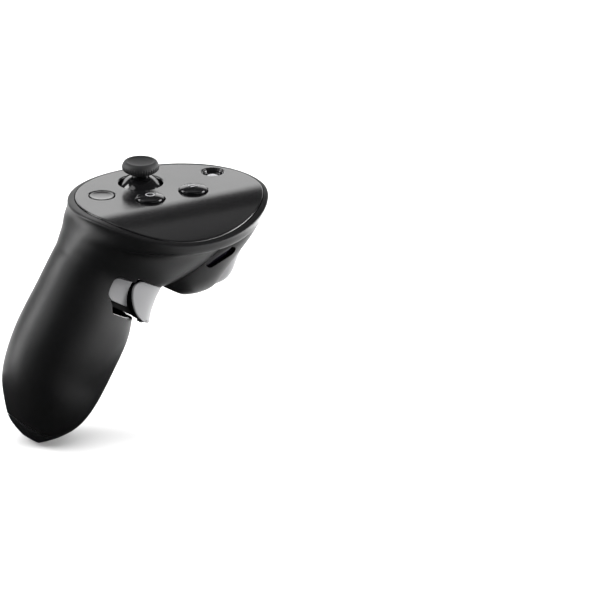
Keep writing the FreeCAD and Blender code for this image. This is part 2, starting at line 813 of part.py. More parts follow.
def make_stick():
    cap = layered(
        "stick_cap",
        ("Pad", ("disc", "Sizes.cap_radius"), "Sizes.cap_low", "Sizes.cap_thick"),
    )
    round_top(cap, "Sizes.cap_round")
    hollow = "(Sizes.dish_radius^2 + Sizes.dish_depth^2) / (2 * Sizes.dish_depth)"
    dish = primitive("Sphere", "stick_cap_dish", Radius=hollow)
    dish_up = f"Sizes.cap_low + Sizes.cap_thick - Sizes.dish_depth + {hollow}"
    place_in_face(dish, "Sizes.stick_x", "Sizes.stick_y", dish_up)
    place_in_face(cap, "Sizes.stick_x", "Sizes.stick_y", "0")
    cap.Label = "stick_cap_blank"
    boolean("Cut", "stick_cap", cap, dish)

    shaft_low = "-Sizes.hub_height / 2 - Sizes.shaft_end"
    stem_low = "Sizes.ring_height / 2 + Sizes.stem_lift"
    stem_tall = f"Sizes.pivot_depth + Sizes.cap_low - ({stem_low})"
    stem = layered(
        "stick_stem",
        ("Pad", ("disc", "Sizes.shaft_radius"), shaft_low, "Sizes.hub_height + 2.2"),
        ("Pad", ("disc", "Sizes.stem_radius"), stem_low, stem_tall),
    )
    place_at_pivot(stem)

    outer = Part.makeSphere(size("skirt_radius"), pivot())
    inner = Part.makeSphere(size("skirt_radius") - size("skirt_thick"), pivot())
    base = pivot() + Vector(-LONG / 2, -LONG / 2, size("skirt_radius") * 0.5)
    half = Part.makeBox(LONG, LONG, LONG, base)
    stem_bar = Part.makeCylinder(size("stem_radius"), LONG, pivot())
    finished("stick_skirt", outer.cut(inner).common(half).cut(stem_bar))

    gap = size("run_gap")
    east = Vector(1, 0, 0)
    north = Vector(0, 1, 0)
    half_hub = Vector(0, 0, size("hub_height") / 2)
    hub = Part.makeCylinder(size("hub_radius"), size("hub_height"), pivot() - half_hub)
    reach = size("ring_outer") - 0.2
    hub = hub.fuse(trunnions(north, size("hub_radius") - 0.3, reach, size("trunnion_radius")))
    bore = Part.makeCylinder(size("shaft_radius") + gap, LONG, pivot() - Vector(0, 0, LONG / 2))
    finished("stick_hub", hub.cut(bore))

    low = pivot() - Vector(0, 0, size("ring_height") / 2)
    gimbal = Part.makeCylinder(size("ring_outer"), size("ring_height"), low)
    gimbal = gimbal.cut(Part.makeCylinder(size("ring_inner"), size("ring_height"), low))
    gimbal = gimbal.cut(trunnions(north, 0, LONG / 4, size("trunnion_radius") + gap))
    pins = trunnions(east, size("ring_outer") - 0.3, size("case_radius") - 0.3, size("trunnion_radius"))
    finished("stick_ring", gimbal.fuse(pins))

    floor = size("case_drop")
    case = Part.makeCylinder(size("case_radius"), size("case_floor"), pivot() - Vector(0, 0, floor))
    for sign in (-1, 1):
        post_low = pivot() + Vector(-0.8 + sign * (size("case_inner") + 0.8), -1.6, -floor)
        post = Part.makeBox(1.6, 3.2, floor + size("trunnion_radius") + 0.4, post_low)
        case = case.fuse(post)
    case = case.cut(trunnions(east, 0, LONG / 4, size("trunnion_radius") + gap))
    finished("stick_case", case)
    switch = layered(
        "stick_switch",
        ("Pad", ("block", "3.4", "3.4"), "Sizes.case_floor - Sizes.case_drop", "0.5"),
    )
    place_at_pivot(switch)


# ---------------------------------------------------------------- index trigger


def index_loft(inset=0.0):
    half = size("index_width") / 2
    wires = []
    for up, reach, side in INDEX_RINGS:
        level = FACE + Vector(size("index_x"), 0, size("index_z") + up * half)
        front = level + Vector(reach * half, 0, 0)
        back = front - Vector(half * 1.5, 0, 0)
        wires.append(ring(back, front, side * half, inset))
    return Part.makeLoft(wires, True, False)


def make_index_trigger():
    half = size("index_width") / 2
    wall = size("index_wall")
    skin = index_loft().cut(index_loft(wall))
    behind = face_block(
        Vector(-LONG, -LONG, -2 * LONG),
        Vector(size("index_x") + 0.1 * half, LONG, LONG),
    )
    behind.rotate(FACE + Vector(size("index_x"), 0, size("index_z")), Vector(0, 1, 0), 20)
    skin = max(skin.cut(behind).Solids, key=lambda solid: solid.Volume)
    pin_at = (size("index_x"), size("index_z"))
    outer = half * 0.72
    boss = crosswise(size("boss_radius"), *pin_at, -outer, outer)
    arms = boss
    for sign in (-1, 1):
        side = sign * (outer - size("ear_thick") / 2)
        low = Vector(pin_at[0], side - size("ear_thick") / 2, pin_at[1] - size("boss_radius"))
        high = Vector(pin_at[0] + half, side + size("ear_thick") / 2, pin_at[1] + size("boss_radius") * 0.6)
        arms = arms.fuse(face_block(low, high).common(index_loft(wall * 0.5)))
    gap_low = Vector(pin_at[0] - LONG, -outer * 0.35, pin_at[1] - LONG)
    gap_high = Vector(pin_at[0] + LONG, outer * 0.35, pin_at[1] + LONG)
    arms = arms.cut(face_block(gap_low, gap_high))
    lever = skin.fuse(arms)
    lever = lever.cut(crosswise(size("pin_radius") + size("run_gap"), *pin_at, -LONG, LONG))
    finished("index_trigger", lever)

    ear = half + size("index_gap") + size("ear_thick")
    finished("index_pin", crosswise(size("pin_radius"), *pin_at, -ear, ear))
    bracket = None
    for sign in (-1, 1):
        side = sign * (half + size("index_gap") + size("ear_thick") / 2)
        low = Vector(pin_at[0] - 5.5, side - size("ear_thick") / 2, pin_at[1] - 2.4)
        high = Vector(pin_at[0] + 2.4, side + size("ear_thick") / 2, pin_at[1] + 2.4)
        ear_block = face_block(low, high)
        bracket = ear_block if bracket is None else bracket.fuse(ear_block)
    low = Vector(pin_at[0] - 7.1, -ear, pin_at[1] - 2.4)
    high = Vector(pin_at[0] - 5.5, ear, pin_at[1] + 2.4)
    bracket = bracket.fuse(face_block(low, high))
    bracket = bracket.common(POD_INNER).cut(crosswise(size("pin_radius"), *pin_at, -LONG, LONG))
    finished("index_bracket", bracket)
    coil = outer * 0.35 - 0.3
    spring = crosswise(size("boss_radius") - 0.2, *pin_at, -coil, coil)
    spring = spring.cut(crosswise(size("pin_radius") + 0.3, *pin_at, -LONG, LONG))
    finished("index_spring", spring)


# ---------------------------------------------------------------- grip trigger


def paddle_loft(inset=0.0):
    half_depth = size("grip_depth") / 2
    half_width = size("grip_width") / 2
    tall = size("paddle_high") - size("paddle_low")
    wires = []
    for share, proud in PADDLE_RINGS:
        centre = -DOWN * (size("paddle_low") + tall * share) - FORE * size("grip_offset")
        front = half_depth * 0.93 + size("paddle_proud") * proud
        wires.append(ring(centre - FORE * half_depth, centre + FORE * front, half_width * 1.0, inset))
    return Part.makeLoft(wires, True, False)


def make_grip_trigger():
    inner_half = grip_block(Vector(-LONG, -LONG, -LONG), Vector(LONG, size("paddle_end"), 2 * LONG))
    skin = paddle_loft().common(paddle_outline(0, 0, 0)).common(inner_half)
    skin = skin.cut(paddle_loft(size("paddle_wall")))
    deep = size("cheek_depth")
    low = Vector(size("cheek_back"), -LONG, size("cheek_low"))
    high = Vector(size("paddle_x") - 3.0, -6, size("cheek_high"))
    area = grip_block(low, high)
    cheek = body_loft(deep).common(area).cut(body_loft(deep + 2.2))
    cheek = cheek.cut(paddle_outline(size("cheek_gap"), 0, 0))
    low = Vector(size("cheek_back") + size("web_back"), -LONG, size("paddle_low") + size("cheek_gap"))
    high = Vector(LONG, size("paddle_end") - size("cheek_gap"), size("cheek_high"))
    deep = size("web_depth")
    web = body_loft(deep).common(grip_block(low, high)).cut(body_loft(deep + size("web_thick")))
    at_low = Vector(size("hinge_x"), size("hinge_y"), size("cheek_low"))
    at_high = Vector(size("hinge_x"), size("hinge_y"), size("cheek_high"))
    barrel = grip_bar(size("boss_radius"), at_low, at_high)
    lever = skin.fuse(web).fuse(cheek).fuse(barrel)
    up = Vector(0, 0, LONG)
    lever = lever.cut(grip_bar(size("pin_radius") + size("run_gap"), at_low - up, at_high + up))
    finished("grip_trigger", lever)
    ear = Vector(0, 0, 2.2)
    finished("grip_pin", grip_bar(size("pin_radius"), at_low - ear, at_high + ear))
    bracket = None
    for low_z, high_z in (
        (size("cheek_low") - 2.2, size("cheek_low") - 0.5),
        (size("cheek_high") + 0.5, size("cheek_high") + 2.2),
    ):
        low = Vector(size("hinge_x") - 2.4, size("hinge_y") - 2.2, low_z)
        high = Vector(size("hinge_x") + 2.4, size("hinge_y") + 7.0, high_z)
        plate = grip_block(low, high)
        bracket = plate if bracket is None else bracket.fuse(plate)
    low = Vector(size("hinge_x") - 2.4, size("hinge_y") + 5.4, size("cheek_low") - 2.2)
    high = Vector(size("hinge_x") + 2.4, size("hinge_y") + 7.0, size("cheek_high") + 2.2)
    bracket = bracket.fuse(grip_block(low, high)).common(INNER)
    bracket = bracket.cut(grip_bar(size("pin_radius"), at_low - up, at_high + up))
    finished("grip_bracket", bracket)
    low = Vector(size("hinge_x") + 2.4, size("hinge_y") + 5.4, size("cheek_low"))
    high = Vector(size("hinge_x") + 12.0, size("hinge_y") + 5.8, size("cheek_high"))
    finished("grip_spring", grip_block(low, high))


# ---------------------------------------------------------------- inside the handle


def make_head_insides():
    strip = layered("antenna_strip", ("Pad", ("block", "24", "3"), "0", "0.6"))
    place_in_face(strip, "0", "Sizes.antenna_y", "Sizes.antenna_z")
    half = size("haptic_length") / 2
    drum = crosswise(size("haptic_radius"), size("haptic_x"), size("haptic_z"), -half, half)
    finished("index_haptic", drum)


def upright_block(label, thick, wide, tall, fore):
    """A block across the handle, as tall as given about the cell's middle."""
    item = layered(label, ("Pad", ("block", thick, wide), f"-({tall}) / 2", tall))
    place_in_grip(item, fore, "0", "Sizes.cell_z")


def make_handle_insides():
    cell = "Sizes.cell_thick", "Sizes.cell_width", "Sizes.cell_length"
    upright_block("battery_cell", *cell, "Sizes.cell_x")
    frame_x = "Sizes.cell_x + (Sizes.cell_thick + Sizes.frame_thick) / 2"
    frame = "Sizes.frame_thick", "Sizes.frame_width", "Sizes.frame_length"
    upright_block("inner_frame", *frame, frame_x)
    board_x = f"{frame_x} + (Sizes.frame_thick + Sizes.board_thick) / 2"
    board = "Sizes.board_thick", "Sizes.frame_width - 2", "Sizes.frame_length - 4"
    upright_block("main_board", *board, board_x)
    motor = primitive(
        "Cylinder",
        "haptic_motor",
        Radius="Sizes.motor_radius",
        Height="Sizes.motor_length",
    )
    motor_x = f"{board_x} + Sizes.board_thick / 2 + Sizes.motor_radius"
    place_in_grip(motor, motor_x, "Sizes.motor_length / 2", "Sizes.motor_z")
    turned = motor.Placement.Rotation.multiply(Rotation(Vector(1, 0, 0), 90))
    motor.Placement = Placement(motor.Placement.Base, turned)
    parts.append(motor)


make_casings()
make_contacts()
make_face_plate()
make_buttons()
make_sensor()
make_stick()
make_index_trigger()
make_grip_trigger()
make_head_insides()
make_handle_insides()
doc.recompute()

faults = []
for item in doc.Objects:
    if "Invalid" in item.State or "Error" in item.State:
        faults.append(f"{item.Label}: {item.State}")
for item in parts:
    if item.Shape.isNull() or not item.Shape.isValid():
        faults.append(f"{item.Label}: bad shape")
if faults:
    raise RuntimeError("; ".join(faults))

os.makedirs("parts", exist_ok=True)
for item in parts:
    item.Shape.exportStep(f"parts/{item.Label}.step")
    print(item.Label, round(item.Shape.Volume, 1), len(item.Shape.Solids))
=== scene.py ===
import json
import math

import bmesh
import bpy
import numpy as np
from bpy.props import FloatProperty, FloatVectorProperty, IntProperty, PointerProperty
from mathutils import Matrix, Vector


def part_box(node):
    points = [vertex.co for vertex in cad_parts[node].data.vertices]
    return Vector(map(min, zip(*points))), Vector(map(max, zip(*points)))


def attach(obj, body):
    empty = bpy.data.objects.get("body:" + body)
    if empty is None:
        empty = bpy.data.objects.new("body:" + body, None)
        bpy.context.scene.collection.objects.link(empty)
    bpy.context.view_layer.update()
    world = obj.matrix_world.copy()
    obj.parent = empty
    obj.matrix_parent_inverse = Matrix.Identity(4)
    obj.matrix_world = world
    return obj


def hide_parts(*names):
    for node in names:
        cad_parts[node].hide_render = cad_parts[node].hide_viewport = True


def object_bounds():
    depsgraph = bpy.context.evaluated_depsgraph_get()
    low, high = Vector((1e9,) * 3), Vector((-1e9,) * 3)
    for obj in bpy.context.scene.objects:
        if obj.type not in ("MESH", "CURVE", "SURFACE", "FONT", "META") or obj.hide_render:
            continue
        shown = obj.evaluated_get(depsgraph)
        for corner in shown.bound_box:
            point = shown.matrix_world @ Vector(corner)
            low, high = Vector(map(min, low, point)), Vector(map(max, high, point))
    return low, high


bl_info = {
    "name": "Motion Controller",
    "version": (1, 0, 0),
    "blender": (4, 5, 0),
    "location": "View3D > Sidebar > Controller",
    "description": "Builds the finished surfaces of a left-hand motion controller round its frame",
    "category": "Add Mesh",
}

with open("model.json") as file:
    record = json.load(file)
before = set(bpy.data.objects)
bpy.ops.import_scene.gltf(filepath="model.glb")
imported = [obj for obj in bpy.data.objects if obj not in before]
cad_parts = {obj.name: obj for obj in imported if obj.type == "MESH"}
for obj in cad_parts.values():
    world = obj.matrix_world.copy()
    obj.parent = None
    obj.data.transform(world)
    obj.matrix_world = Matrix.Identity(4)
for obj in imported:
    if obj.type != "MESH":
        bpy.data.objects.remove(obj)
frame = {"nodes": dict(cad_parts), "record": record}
CAD_LOW, CAD_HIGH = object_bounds()

# Lengths below are in millimetres, and become metres when a mesh is made.
MM = 0.001
AROUND = 192
SQUARENESS = 2.1
EGG = 0.065
POLE = 0.02


def named(items, name):
    for item in items:
        if item["name"] == name:
            return item
    raise RuntimeError(f"the frame has no {name}")


def mount(name):
    return named(frame["record"]["mounts"], name)


def joint(name):
    return named(frame["record"]["behaviour"]["joints"], name)


def corners_mm(node):
    low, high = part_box(node)
    return np.array(low) / MM, np.array(high) / MM


def face_origin():
    """Centre of the face plate's flat surface: the middle of its length, at the top."""
    low, high = corners_mm("face_plate")
    return np.array([(low[0] + high[0]) / 2, 0.0, high[2]])


UP_GRIP = -np.array(mount("tip_socket")["axis"], dtype=float)
FORE = np.array([UP_GRIP[2], 0.0, -UP_GRIP[0]])
SIDE = np.array([0.0, 1.0, 0.0])
UP = np.array([0.0, 0.0, 1.0])
FACE = face_origin()
PIVOT = np.array(joint("stick_tilt_sideways")["pos_m"]) / MM
INDEX_PIVOT = np.array(joint("index_trigger_pull")["pos_m"]) / MM
GRIP_HINGE = np.array(joint("grip_trigger_squeeze")["pos_m"]) / MM

# Handle and head, as the frame has them.
GRIP_LENGTH = 66.2
GRIP_DEPTH = 42.0
GRIP_WIDTH = 34.6
GRIP_OFFSET = 4.2
HEAD_LENGTH = 76.0
HEAD_WIDTH = 65.8
HEAD_CENTRE = 1.2
RIM_HEIGHT = 3.0
RIM_DROP = 0.35
POD_DEPTH = 38.5
BEND_START = 6.0
BEND_RADIUS = 47.6
PLATE_LENGTH = 71.0
PLATE_WIDTH = 62.0
PLATE_THICK = 1.6
GASKET_THICK = 0.15
NECK = UP_GRIP * GRIP_LENGTH - FORE * GRIP_OFFSET

NECK_RINGS = (
    (0.0, 0.0, 0.0, 0.0, 1.0, 0.6),
    (0.18, 0.2, 0.036, 0.14, 0.9, 0.75),
    (0.36, 0.385, 0.17, 0.29, 0.66, 0.6),
    (0.56, 0.59, 0.45, 0.635, 0.4, 0.35),
    (0.78, 0.82, 0.726, 0.867, 0.17, 0.1),
)
GRIP_RINGS = (
    (0.0, 0.94, 0.91, 1.0),
    (0.2135, 0.95, 0.95, 1.02),
    (0.4219, 0.96, 1.0, 1.06),
    (0.6049, 0.9, 1.0, 1.02),
    (0.7625, 0.72, 0.91, 0.99),
    (0.8763, 0.47, 0.73, 0.81),
    (0.9587, 0.205, 0.46, 0.58),
    (1.0, -0.07, 0.33, 0.3),
)
POD_RINGS = (
    (0.15, 0.92, 0.08, 0.78),
    (0.1, 0.874, 0.234, 0.72),
    (-0.05, 0.776, 0.442, 0.64),
    (-0.28, 0.671, 0.623, 0.56),
    (-0.32, 0.54, 0.779, 0.517),
    (-0.224, 0.46, 0.909, 0.395),
    (0.0, 0.316, 1.0, 0.18),
)
INDEX_RINGS = (
    (0.36, 1.1, 0.78),
    (0.0, 1.16, 0.92),
    (-0.55, 0.93, 1.0),
    (-1.0, 0.69, 1.0),
    (-1.42, 0.53, 0.95),
    (-1.8, 0.3, 0.8),
    (-1.99, -0.06, 0.55),
)
PADDLE_RINGS = ((0.0, 1.4), (0.25, 1.15), (0.5, 1.02), (0.75, 0.96), (1.0, 0.98))


# ---------------------------------------------------------------- settings


def length(name, text, millimetres):
    return FloatProperty(name=name, description=text, default=millimetres * MM, unit="LENGTH", precision=5)


def colour(name, text, value):
    return FloatVectorProperty(
        name=name, description=text, default=value, subtype="COLOR", size=3, min=0.0, max=1.0
    )


class ControllerSizes(bpy.types.PropertyGroup):
    """Sizes of the finished surfaces that the frame leaves open."""

    wall: length("Wall", "Thickness of the moulded shells", 2.0)
    rim_round: length("Rim rounding", "Rounding of the shell's top edge", 0.75)
    plate_gap: length("Plate gap", "Gap round the face plate", 0.22)
    plate_round: length("Plate rounding", "Rounding of the face plate's edge", 0.5)
    seam: length("Seam", "Width of the seams between the shells", 0.16)
    key_round: length("Key rounding", "Rounding of the round keys' tops", 0.75)
    ridge_count: IntProperty(name="Ridges", description="Ridges round the stick's cap", default=44)
    ridge_depth: length("Ridge depth", "Depth of the ridges round the stick's cap", 0.15)
    spring_wire: length("Spring wire", "Thickness of the trigger spring's wire", 0.45)


class ControllerColours(bpy.types.PropertyGroup):
    """Colours of the mouldings."""

    shell: colour("Shell", "Soft-touch shells", (0.0035, 0.0035, 0.0038))
    plate: colour("Plate", "Face plate", (0.0050, 0.0050, 0.0053))
    keel: colour("Keel", "Keel strip", (0.0060, 0.0060, 0.0065))
    key: colour("Keys", "Polished keys", (0.0050, 0.0050, 0.0055))
    trigger: colour("Triggers", "Satin triggers", (0.12, 0.12, 0.123))
    rubber: colour("Rubber", "Stick cap", (0.0110, 0.0110, 0.0115))
    mark: colour("Marks", "Printed marks", (0.30, 0.30, 0.31))


def sizes():
    return bpy.context.scene.controller_sizes


def colours():
    return bpy.context.scene.controller_colours


# ---------------------------------------------------------------- curves and grids


def superellipse(turns):
    across = np.cos(turns)
    along = np.sin(turns)
    first = np.sign(across) * np.abs(across) ** (2 / SQUARENESS)
    second = np.sign(along) * np.abs(along) ** (2 / SQUARENESS)
    return first, second


def full_turn(count=AROUND):
    return np.linspace(0, 2 * np.pi, count, endpoint=False)


def bend(side):
    """Drop of the face surface as it rolls over towards the inner side."""
    past = np.clip(-BEND_START - side, 0.0, BEND_RADIUS * 0.8)
    return BEND_RADIUS - np.sqrt(BEND_RADIUS**2 - past**2)


def ring(back, front, reach, inset=0.0, bend_share=0.0, turns=None):
    """A rounded ring between two points of the middle plane."""
    turns = full_turn() if turns is None else turns
    middle = (back + front) / 2
    half = (front - back) / 2
    reach_half = np.linalg.norm(half)
    unit = half / reach_half
    first, second = superellipse(turns)
    side = (reach - inset) * second
    points = middle + np.outer(first * (reach_half - inset), unit) + np.outer(side, SIDE)
    points[:, 2] -= bend_share * bend(side)
    return points


def body_rings(inset=0.0, turns=None):
    """The rings of the outer body from the tip up to above the rim."""
    half_depth = GRIP_DEPTH / 2
    half_width = GRIP_WIDTH / 2
    extra = HEAD_WIDTH / 2 - half_width
    centre = FACE - np.array([HEAD_CENTRE, 0, RIM_HEIGHT])
    rim_back = centre - np.array([HEAD_LENGTH / 2, 0, 0])
    rim_front = centre + np.array([HEAD_LENGTH / 2, 0, 0])
    neck_back = NECK - FORE * half_depth * GRIP_RINGS[0][1]
    neck_front = NECK + FORE * half_depth * GRIP_RINGS[0][2]
    rise = np.array([0, 0, 2 * RIM_HEIGHT])
    rings = [ring(rim_back + rise, rim_front + rise, HEAD_WIDTH / 2, inset, 0.0, turns)]
    for back_x, back_z, front_x, front_z, wide, bent in NECK_RINGS:
        back = rim_back + (neck_back - rim_back) * np.array([back_x, 0, back_z])
        front = rim_front + (neck_front - rim_front) * np.array([front_x, 0, front_z])
        rings.append(ring(back, front, half_width + extra * wide, inset, bent, turns))
    for share, back, front, side in GRIP_RINGS:
        centre = NECK - UP_GRIP * GRIP_LENGTH * share
        shy = min(inset, half_width * side * 0.4)
        back_point = centre - FORE * half_depth * back
        front_point = centre + FORE * half_depth * front
        rings.append(ring(back_point, front_point, half_width * side, shy, 0.0, turns))
    return np.array(rings[::-1])


def pod_rings(inset=0.0):
    rings = []
    for back, front, deep, side in POD_RINGS:
        level = FACE - np.array([0, 0, deep * (POD_DEPTH - inset)])
        back_point = level + np.array([back * HEAD_LENGTH / 2, 0, 0])
        front_point = level + np.array([front * HEAD_LENGTH / 2, 0, 0])
        rings.append(ring(back_point, front_point, side * HEAD_WIDTH / 2, inset))
    return np.array(rings)


def smooth_rows(rings, count):
    """A smooth surface through rings: a cubic spline along every column, sampled evenly."""
    steps = np.linalg.norm(np.diff(rings, axis=0), axis=2).mean(axis=1)
    knots = np.concatenate([[0], np.cumsum(steps)])
    total = len(knots)
    flat = rings.reshape(total, -1)
    system = np.eye(total)
    right = np.zeros_like(flat)
    for row in range(1, total - 1):
        before = knots[row] - knots[row - 1]
        after = knots[row + 1] - knots[row]
        system[row, row - 1 : row + 2] = before, 2 * (before + after), after
        right[row] = 6 * ((flat[row + 1] - flat[row]) / after - (flat[row] - flat[row - 1]) / before)
    curve = np.linalg.solve(system, right)
    places = np.linspace(0, knots[-1], count)
    index = np.clip(np.searchsorted(knots, places) - 1, 0, total - 2)
    span = (knots[index + 1] - knots[index])[:, None]
    low = (knots[index + 1] - places)[:, None]
    high = (places - knots[index])[:, None]
    points = (curve[index] * low**3 + curve[index + 1] * high**3) / (6 * span)
    points += (flat[index] / span - curve[index] * span / 6) * low
    points += (flat[index + 1] / span - curve[index + 1] * span / 6) * high
    return points.reshape(count, *rings.shape[1:])


def rows_under_face(rows, lower, count):
    """The rows below a surface parallel to the face, with each column ending on that surface."""
    level = FACE[2] - lower - bend(rows[:, :, 1])
    above = rows[:, :, 2] - level
    total = len(rows)
    columns = rows.shape[1]
    cut = np.empty((count, columns, 3))
    half = total // 2
    for column in range(columns):
        over = np.nonzero(above[half:, column] > 0)[0]
        first = half + over[0]
        before, after = above[first - 1, column], above[first, column]
        end = first - 1 + before / (before - after)
        places = np.linspace(0, end, count)
        index = np.minimum(places.astype(int), total - 2)
        part = (places - index)[:, None]
        cut[:, column] = rows[index, column] * (1 - part) + rows[index + 1, column] * part
    return cut


def rounded_corner(before, corner, after, steps=5):
    """Rows that turn smoothly from one row to another round a corner row."""
    rows = []
    for share in np.linspace(0, 1, steps + 1):
        rows.append(before * (1 - share) ** 2 + corner * 2 * share * (1 - share) + after * share**2)
    return rows


def toward(start, end, distance):
    """Points moved from start towards end by a distance."""
    step = end - start
    far = np.linalg.norm(step, axis=-1, keepdims=True)
    return start + step * (distance / np.maximum(far, 1e-9))


def plate_outline(grow, lower, share=1.0):
    """The face plate's egg-shaped outline, or a share of it, on a surface parallel to the face."""
    first, second = superellipse(full_turn())
    x = (PLATE_LENGTH / 2 + grow) * first * share
    y = (PLATE_WIDTH / 2 + grow) * second * (1 - EGG * first) * share
    return np.stack([FACE[0] + x, y, FACE[2] - lower - bend(y)], axis=1)


def over_face(east, north):
    """A point of the face plate's surface, from its centre."""
    return FACE + np.array([east, north, 0.0])


def grip_point(fore, side, up):
    return FORE * fore + SIDE * side + UP_GRIP * up


# ---------------------------------------------------------------- meshes


def new_object(name, data):
    item = bpy.data.objects.new(name, data)
    bpy.context.scene.collection.objects.link(item)
    return item


def new_piece(name, points, faces):
    """A mesh object from points in millimetres, with its place in its mesh."""
    mesh = bpy.data.meshes.new(name)
    mesh.from_pydata((np.asarray(points) * MM).tolist(), [], faces)
    mesh.validate()
    return new_object(name, mesh)


def face_outwards(piece):
    work = bmesh.new()
    work.from_mesh(piece.data)
    bmesh.ops.remove_doubles(work, verts=work.verts, dist=1e-7)
    bmesh.ops.recalc_face_normals(work, faces=work.faces)
    work.to_mesh(piece.data)
    work.free()


def smooth(piece, degrees=32):
    piece.data.shade_smooth()
    piece.data.set_sharp_from_angle(angle=math.radians(degrees))


def tube(name, rows):
    """A closed surface through rows of points, with a pole at each end."""
    rows = np.asarray(rows)
    count, columns = rows.shape[:2]
    points = rows.reshape(-1, 3).tolist()
    faces = []
    for row in range(count - 1):
        start = row * columns
        for column in range(columns):
            after = (column + 1) % columns
            faces.append((start + column, start + after, start + columns + after, start + columns + column))
    for end, centre in ((0, rows[0].mean(axis=0)), (count - 1, rows[-1].mean(axis=0))):
        points.append(centre.tolist())
        pole = len(points) - 1
        start = end * columns
        for column in range(columns):
            faces.append((start + column, start + (column + 1) % columns, pole))
    piece = new_piece(name, points, faces)
    face_outwards(piece)
    return piece


def turned(name, profile, origin, steps=96, axes=np.eye(3)):
    """A piece turned on a lathe: profile points of radius, height and rounding, from the axis to the axis."""
    path = rounded_profile(profile)
    turns = full_turn(steps)
    right, ahead, up = axes
    rows = []
    for radius, height in path:
        circle = np.outer(np.cos(turns), right) + np.outer(np.sin(turns), ahead)
        rows.append(origin + circle * max(radius, POLE) + up * height)
    piece = tube(name, np.array(rows))
    smooth(piece)
    return piece


def rounded_profile(profile):
    """Rounds the corners of a profile whose points are radius, height and rounding."""
    points = [np.array(item[:2], dtype=float) for item in profile]
    path = [points[0]]
    for number in range(1, len(profile) - 1):
        amount = profile[number][2] if len(profile[number]) > 2 else 0.0
        corner = points[number]
        if amount <= 0:
            path.append(corner)
            continue
        near = min(amount, np.linalg.norm(points[number - 1] - corner) * 0.49)
        far = min(amount, np.linalg.norm(points[number + 1] - corner) * 0.49)
        start = toward(corner, points[number - 1], near)
        path.extend(rounded_corner(start, corner, toward(corner, points[number + 1], far), 6))
    path.append(points[-1])
    return path


def prism(name, outline, start, along):
    """A bar on a closed outline, from start along a direction."""
    outline = np.asarray(outline)
    count = len(outline)
    points = np.concatenate([outline + start, outline + start + along])
    faces = [tuple(range(count)), tuple(range(2 * count - 1, count - 1, -1))]
    for number in range(count):
        after = (number + 1) % count
        faces.append((number, after, count + after, count + number))
    piece = new_piece(name, points, faces)
    face_outwards(piece)
    return piece


def block(name, low, high, edge=0.0):
    """A box between two corners, with rounded edges."""
    corners = [(low[0], low[1]), (high[0], low[1]), (high[0], high[1]), (low[0], high[1])]
    outline = [(x, y, low[2]) for x, y in corners]
    piece = prism(name, outline, np.zeros(3), UP * (high[2] - low[2]))
    if edge > 0:
        modifier = piece.modifiers.new("edge", "BEVEL")
        modifier.width = edge * MM
        modifier.segments = 3
        modifier.limit_method = "ANGLE"
        bake_modifiers(piece)
    return piece


def bake_modifiers(piece):
    """Turns what the modifiers show into the piece's plain mesh."""
    graph = bpy.context.evaluated_depsgraph_get()
    graph.update()
    mesh = bpy.data.meshes.new_from_object(piece.evaluated_get(graph))
    piece.modifiers.clear()
    old = piece.data
    piece.data = mesh
    mesh.name = piece.name
    bpy.data.meshes.remove(old)


def remove(*pieces):
    for piece in pieces:
        mesh = piece.data
        bpy.data.objects.remove(piece)
        bpy.data.meshes.remove(mesh)


def copy_piece(piece, name):
    return new_object(name, piece.data.copy())


def carve(piece, tool, operation="DIFFERENCE"):
    modifier = piece.modifiers.new("carve", "BOOLEAN")
    modifier.operation = operation
    modifier.solver = "EXACT"
    modifier.object = tool
    bake_modifiers(piece)
    remove(tool)
    if not piece.data.polygons:
        raise RuntimeError(f"nothing is left of {piece.name}")


def grid_normals(grid):
    """The outward direction at each point of a grid."""
    along = np.gradient(grid, axis=0)
    across = np.gradient(grid, axis=1)
    normal = np.cross(across, along)
    return normal / np.linalg.norm(normal, axis=2, keepdims=True)


def sunk(grid, depth):
    """A grid moved inwards by a depth."""
    return grid - grid_normals(grid) * depth


def panel(name, grid, thickness, edge):
    """A thick skin on a grid of points, with every edge of its outer side rounded."""
    grid = np.asarray(grid)
    normal = grid_normals(grid)
    rows, columns = grid.shape[:2]
    step_rows = np.linalg.norm(np.diff(grid, axis=0), axis=2)
    step_columns = np.linalg.norm(np.diff(grid, axis=1), axis=2)
    from_low = np.concatenate([np.zeros((1, columns)), np.cumsum(step_rows, axis=0)])
    from_left = np.concatenate([np.zeros((rows, 1)), np.cumsum(step_columns, axis=1)], axis=1)
    near_row = np.minimum(from_low, from_low[-1:] - from_low)
    near_column = np.minimum(from_left, from_left[:, -1:] - from_left)
    short = np.hypot(np.maximum(0, edge - near_row), np.maximum(0, edge - near_column))
    sink = edge - np.sqrt(np.maximum(0, edge**2 - np.minimum(short, edge) ** 2))
    outer = grid - normal * sink[:, :, None]
    inner = grid - normal * thickness
    points = np.concatenate([outer.reshape(-1, 3), inner.reshape(-1, 3)])
    faces = []
    shift = rows * columns
    for row in range(rows - 1):
        for column in range(columns - 1):
            a = row * columns + column
            b, c, d = a + 1, a + columns + 1, a + columns
            faces.append((a, b, c, d))
            faces.append((shift + d, shift + c, shift + b, shift + a))
    border = [column for column in range(columns)]
    border += [row * columns + columns - 1 for row in range(1, rows)]
    border += [(rows - 1) * columns + column for column in range(columns - 2, -1, -1)]
    border += [row * columns for row in range(rows - 2, 0, -1)]
    for number, point in enumerate(border):
        after = border[(number + 1) % len(border)]
        faces.append((point, shift + point, shift + after, after))
    piece = new_piece(name, points, faces)
    face_outwards(piece)
    smooth(piece, 40)
    return piece


def edge_spacing(count):
    """Shares from 0 to 1 that crowd together at both ends."""
    return (1 - np.cos(np.linspace(0, np.pi, count))) / 2


def tie(piece, body, slot, *nodes):
    """Ties a finished piece to its body and hides the frame nodes that it stands for; the slot is not used.
    """
    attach(piece, body)
    if nodes:
        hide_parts(*nodes)


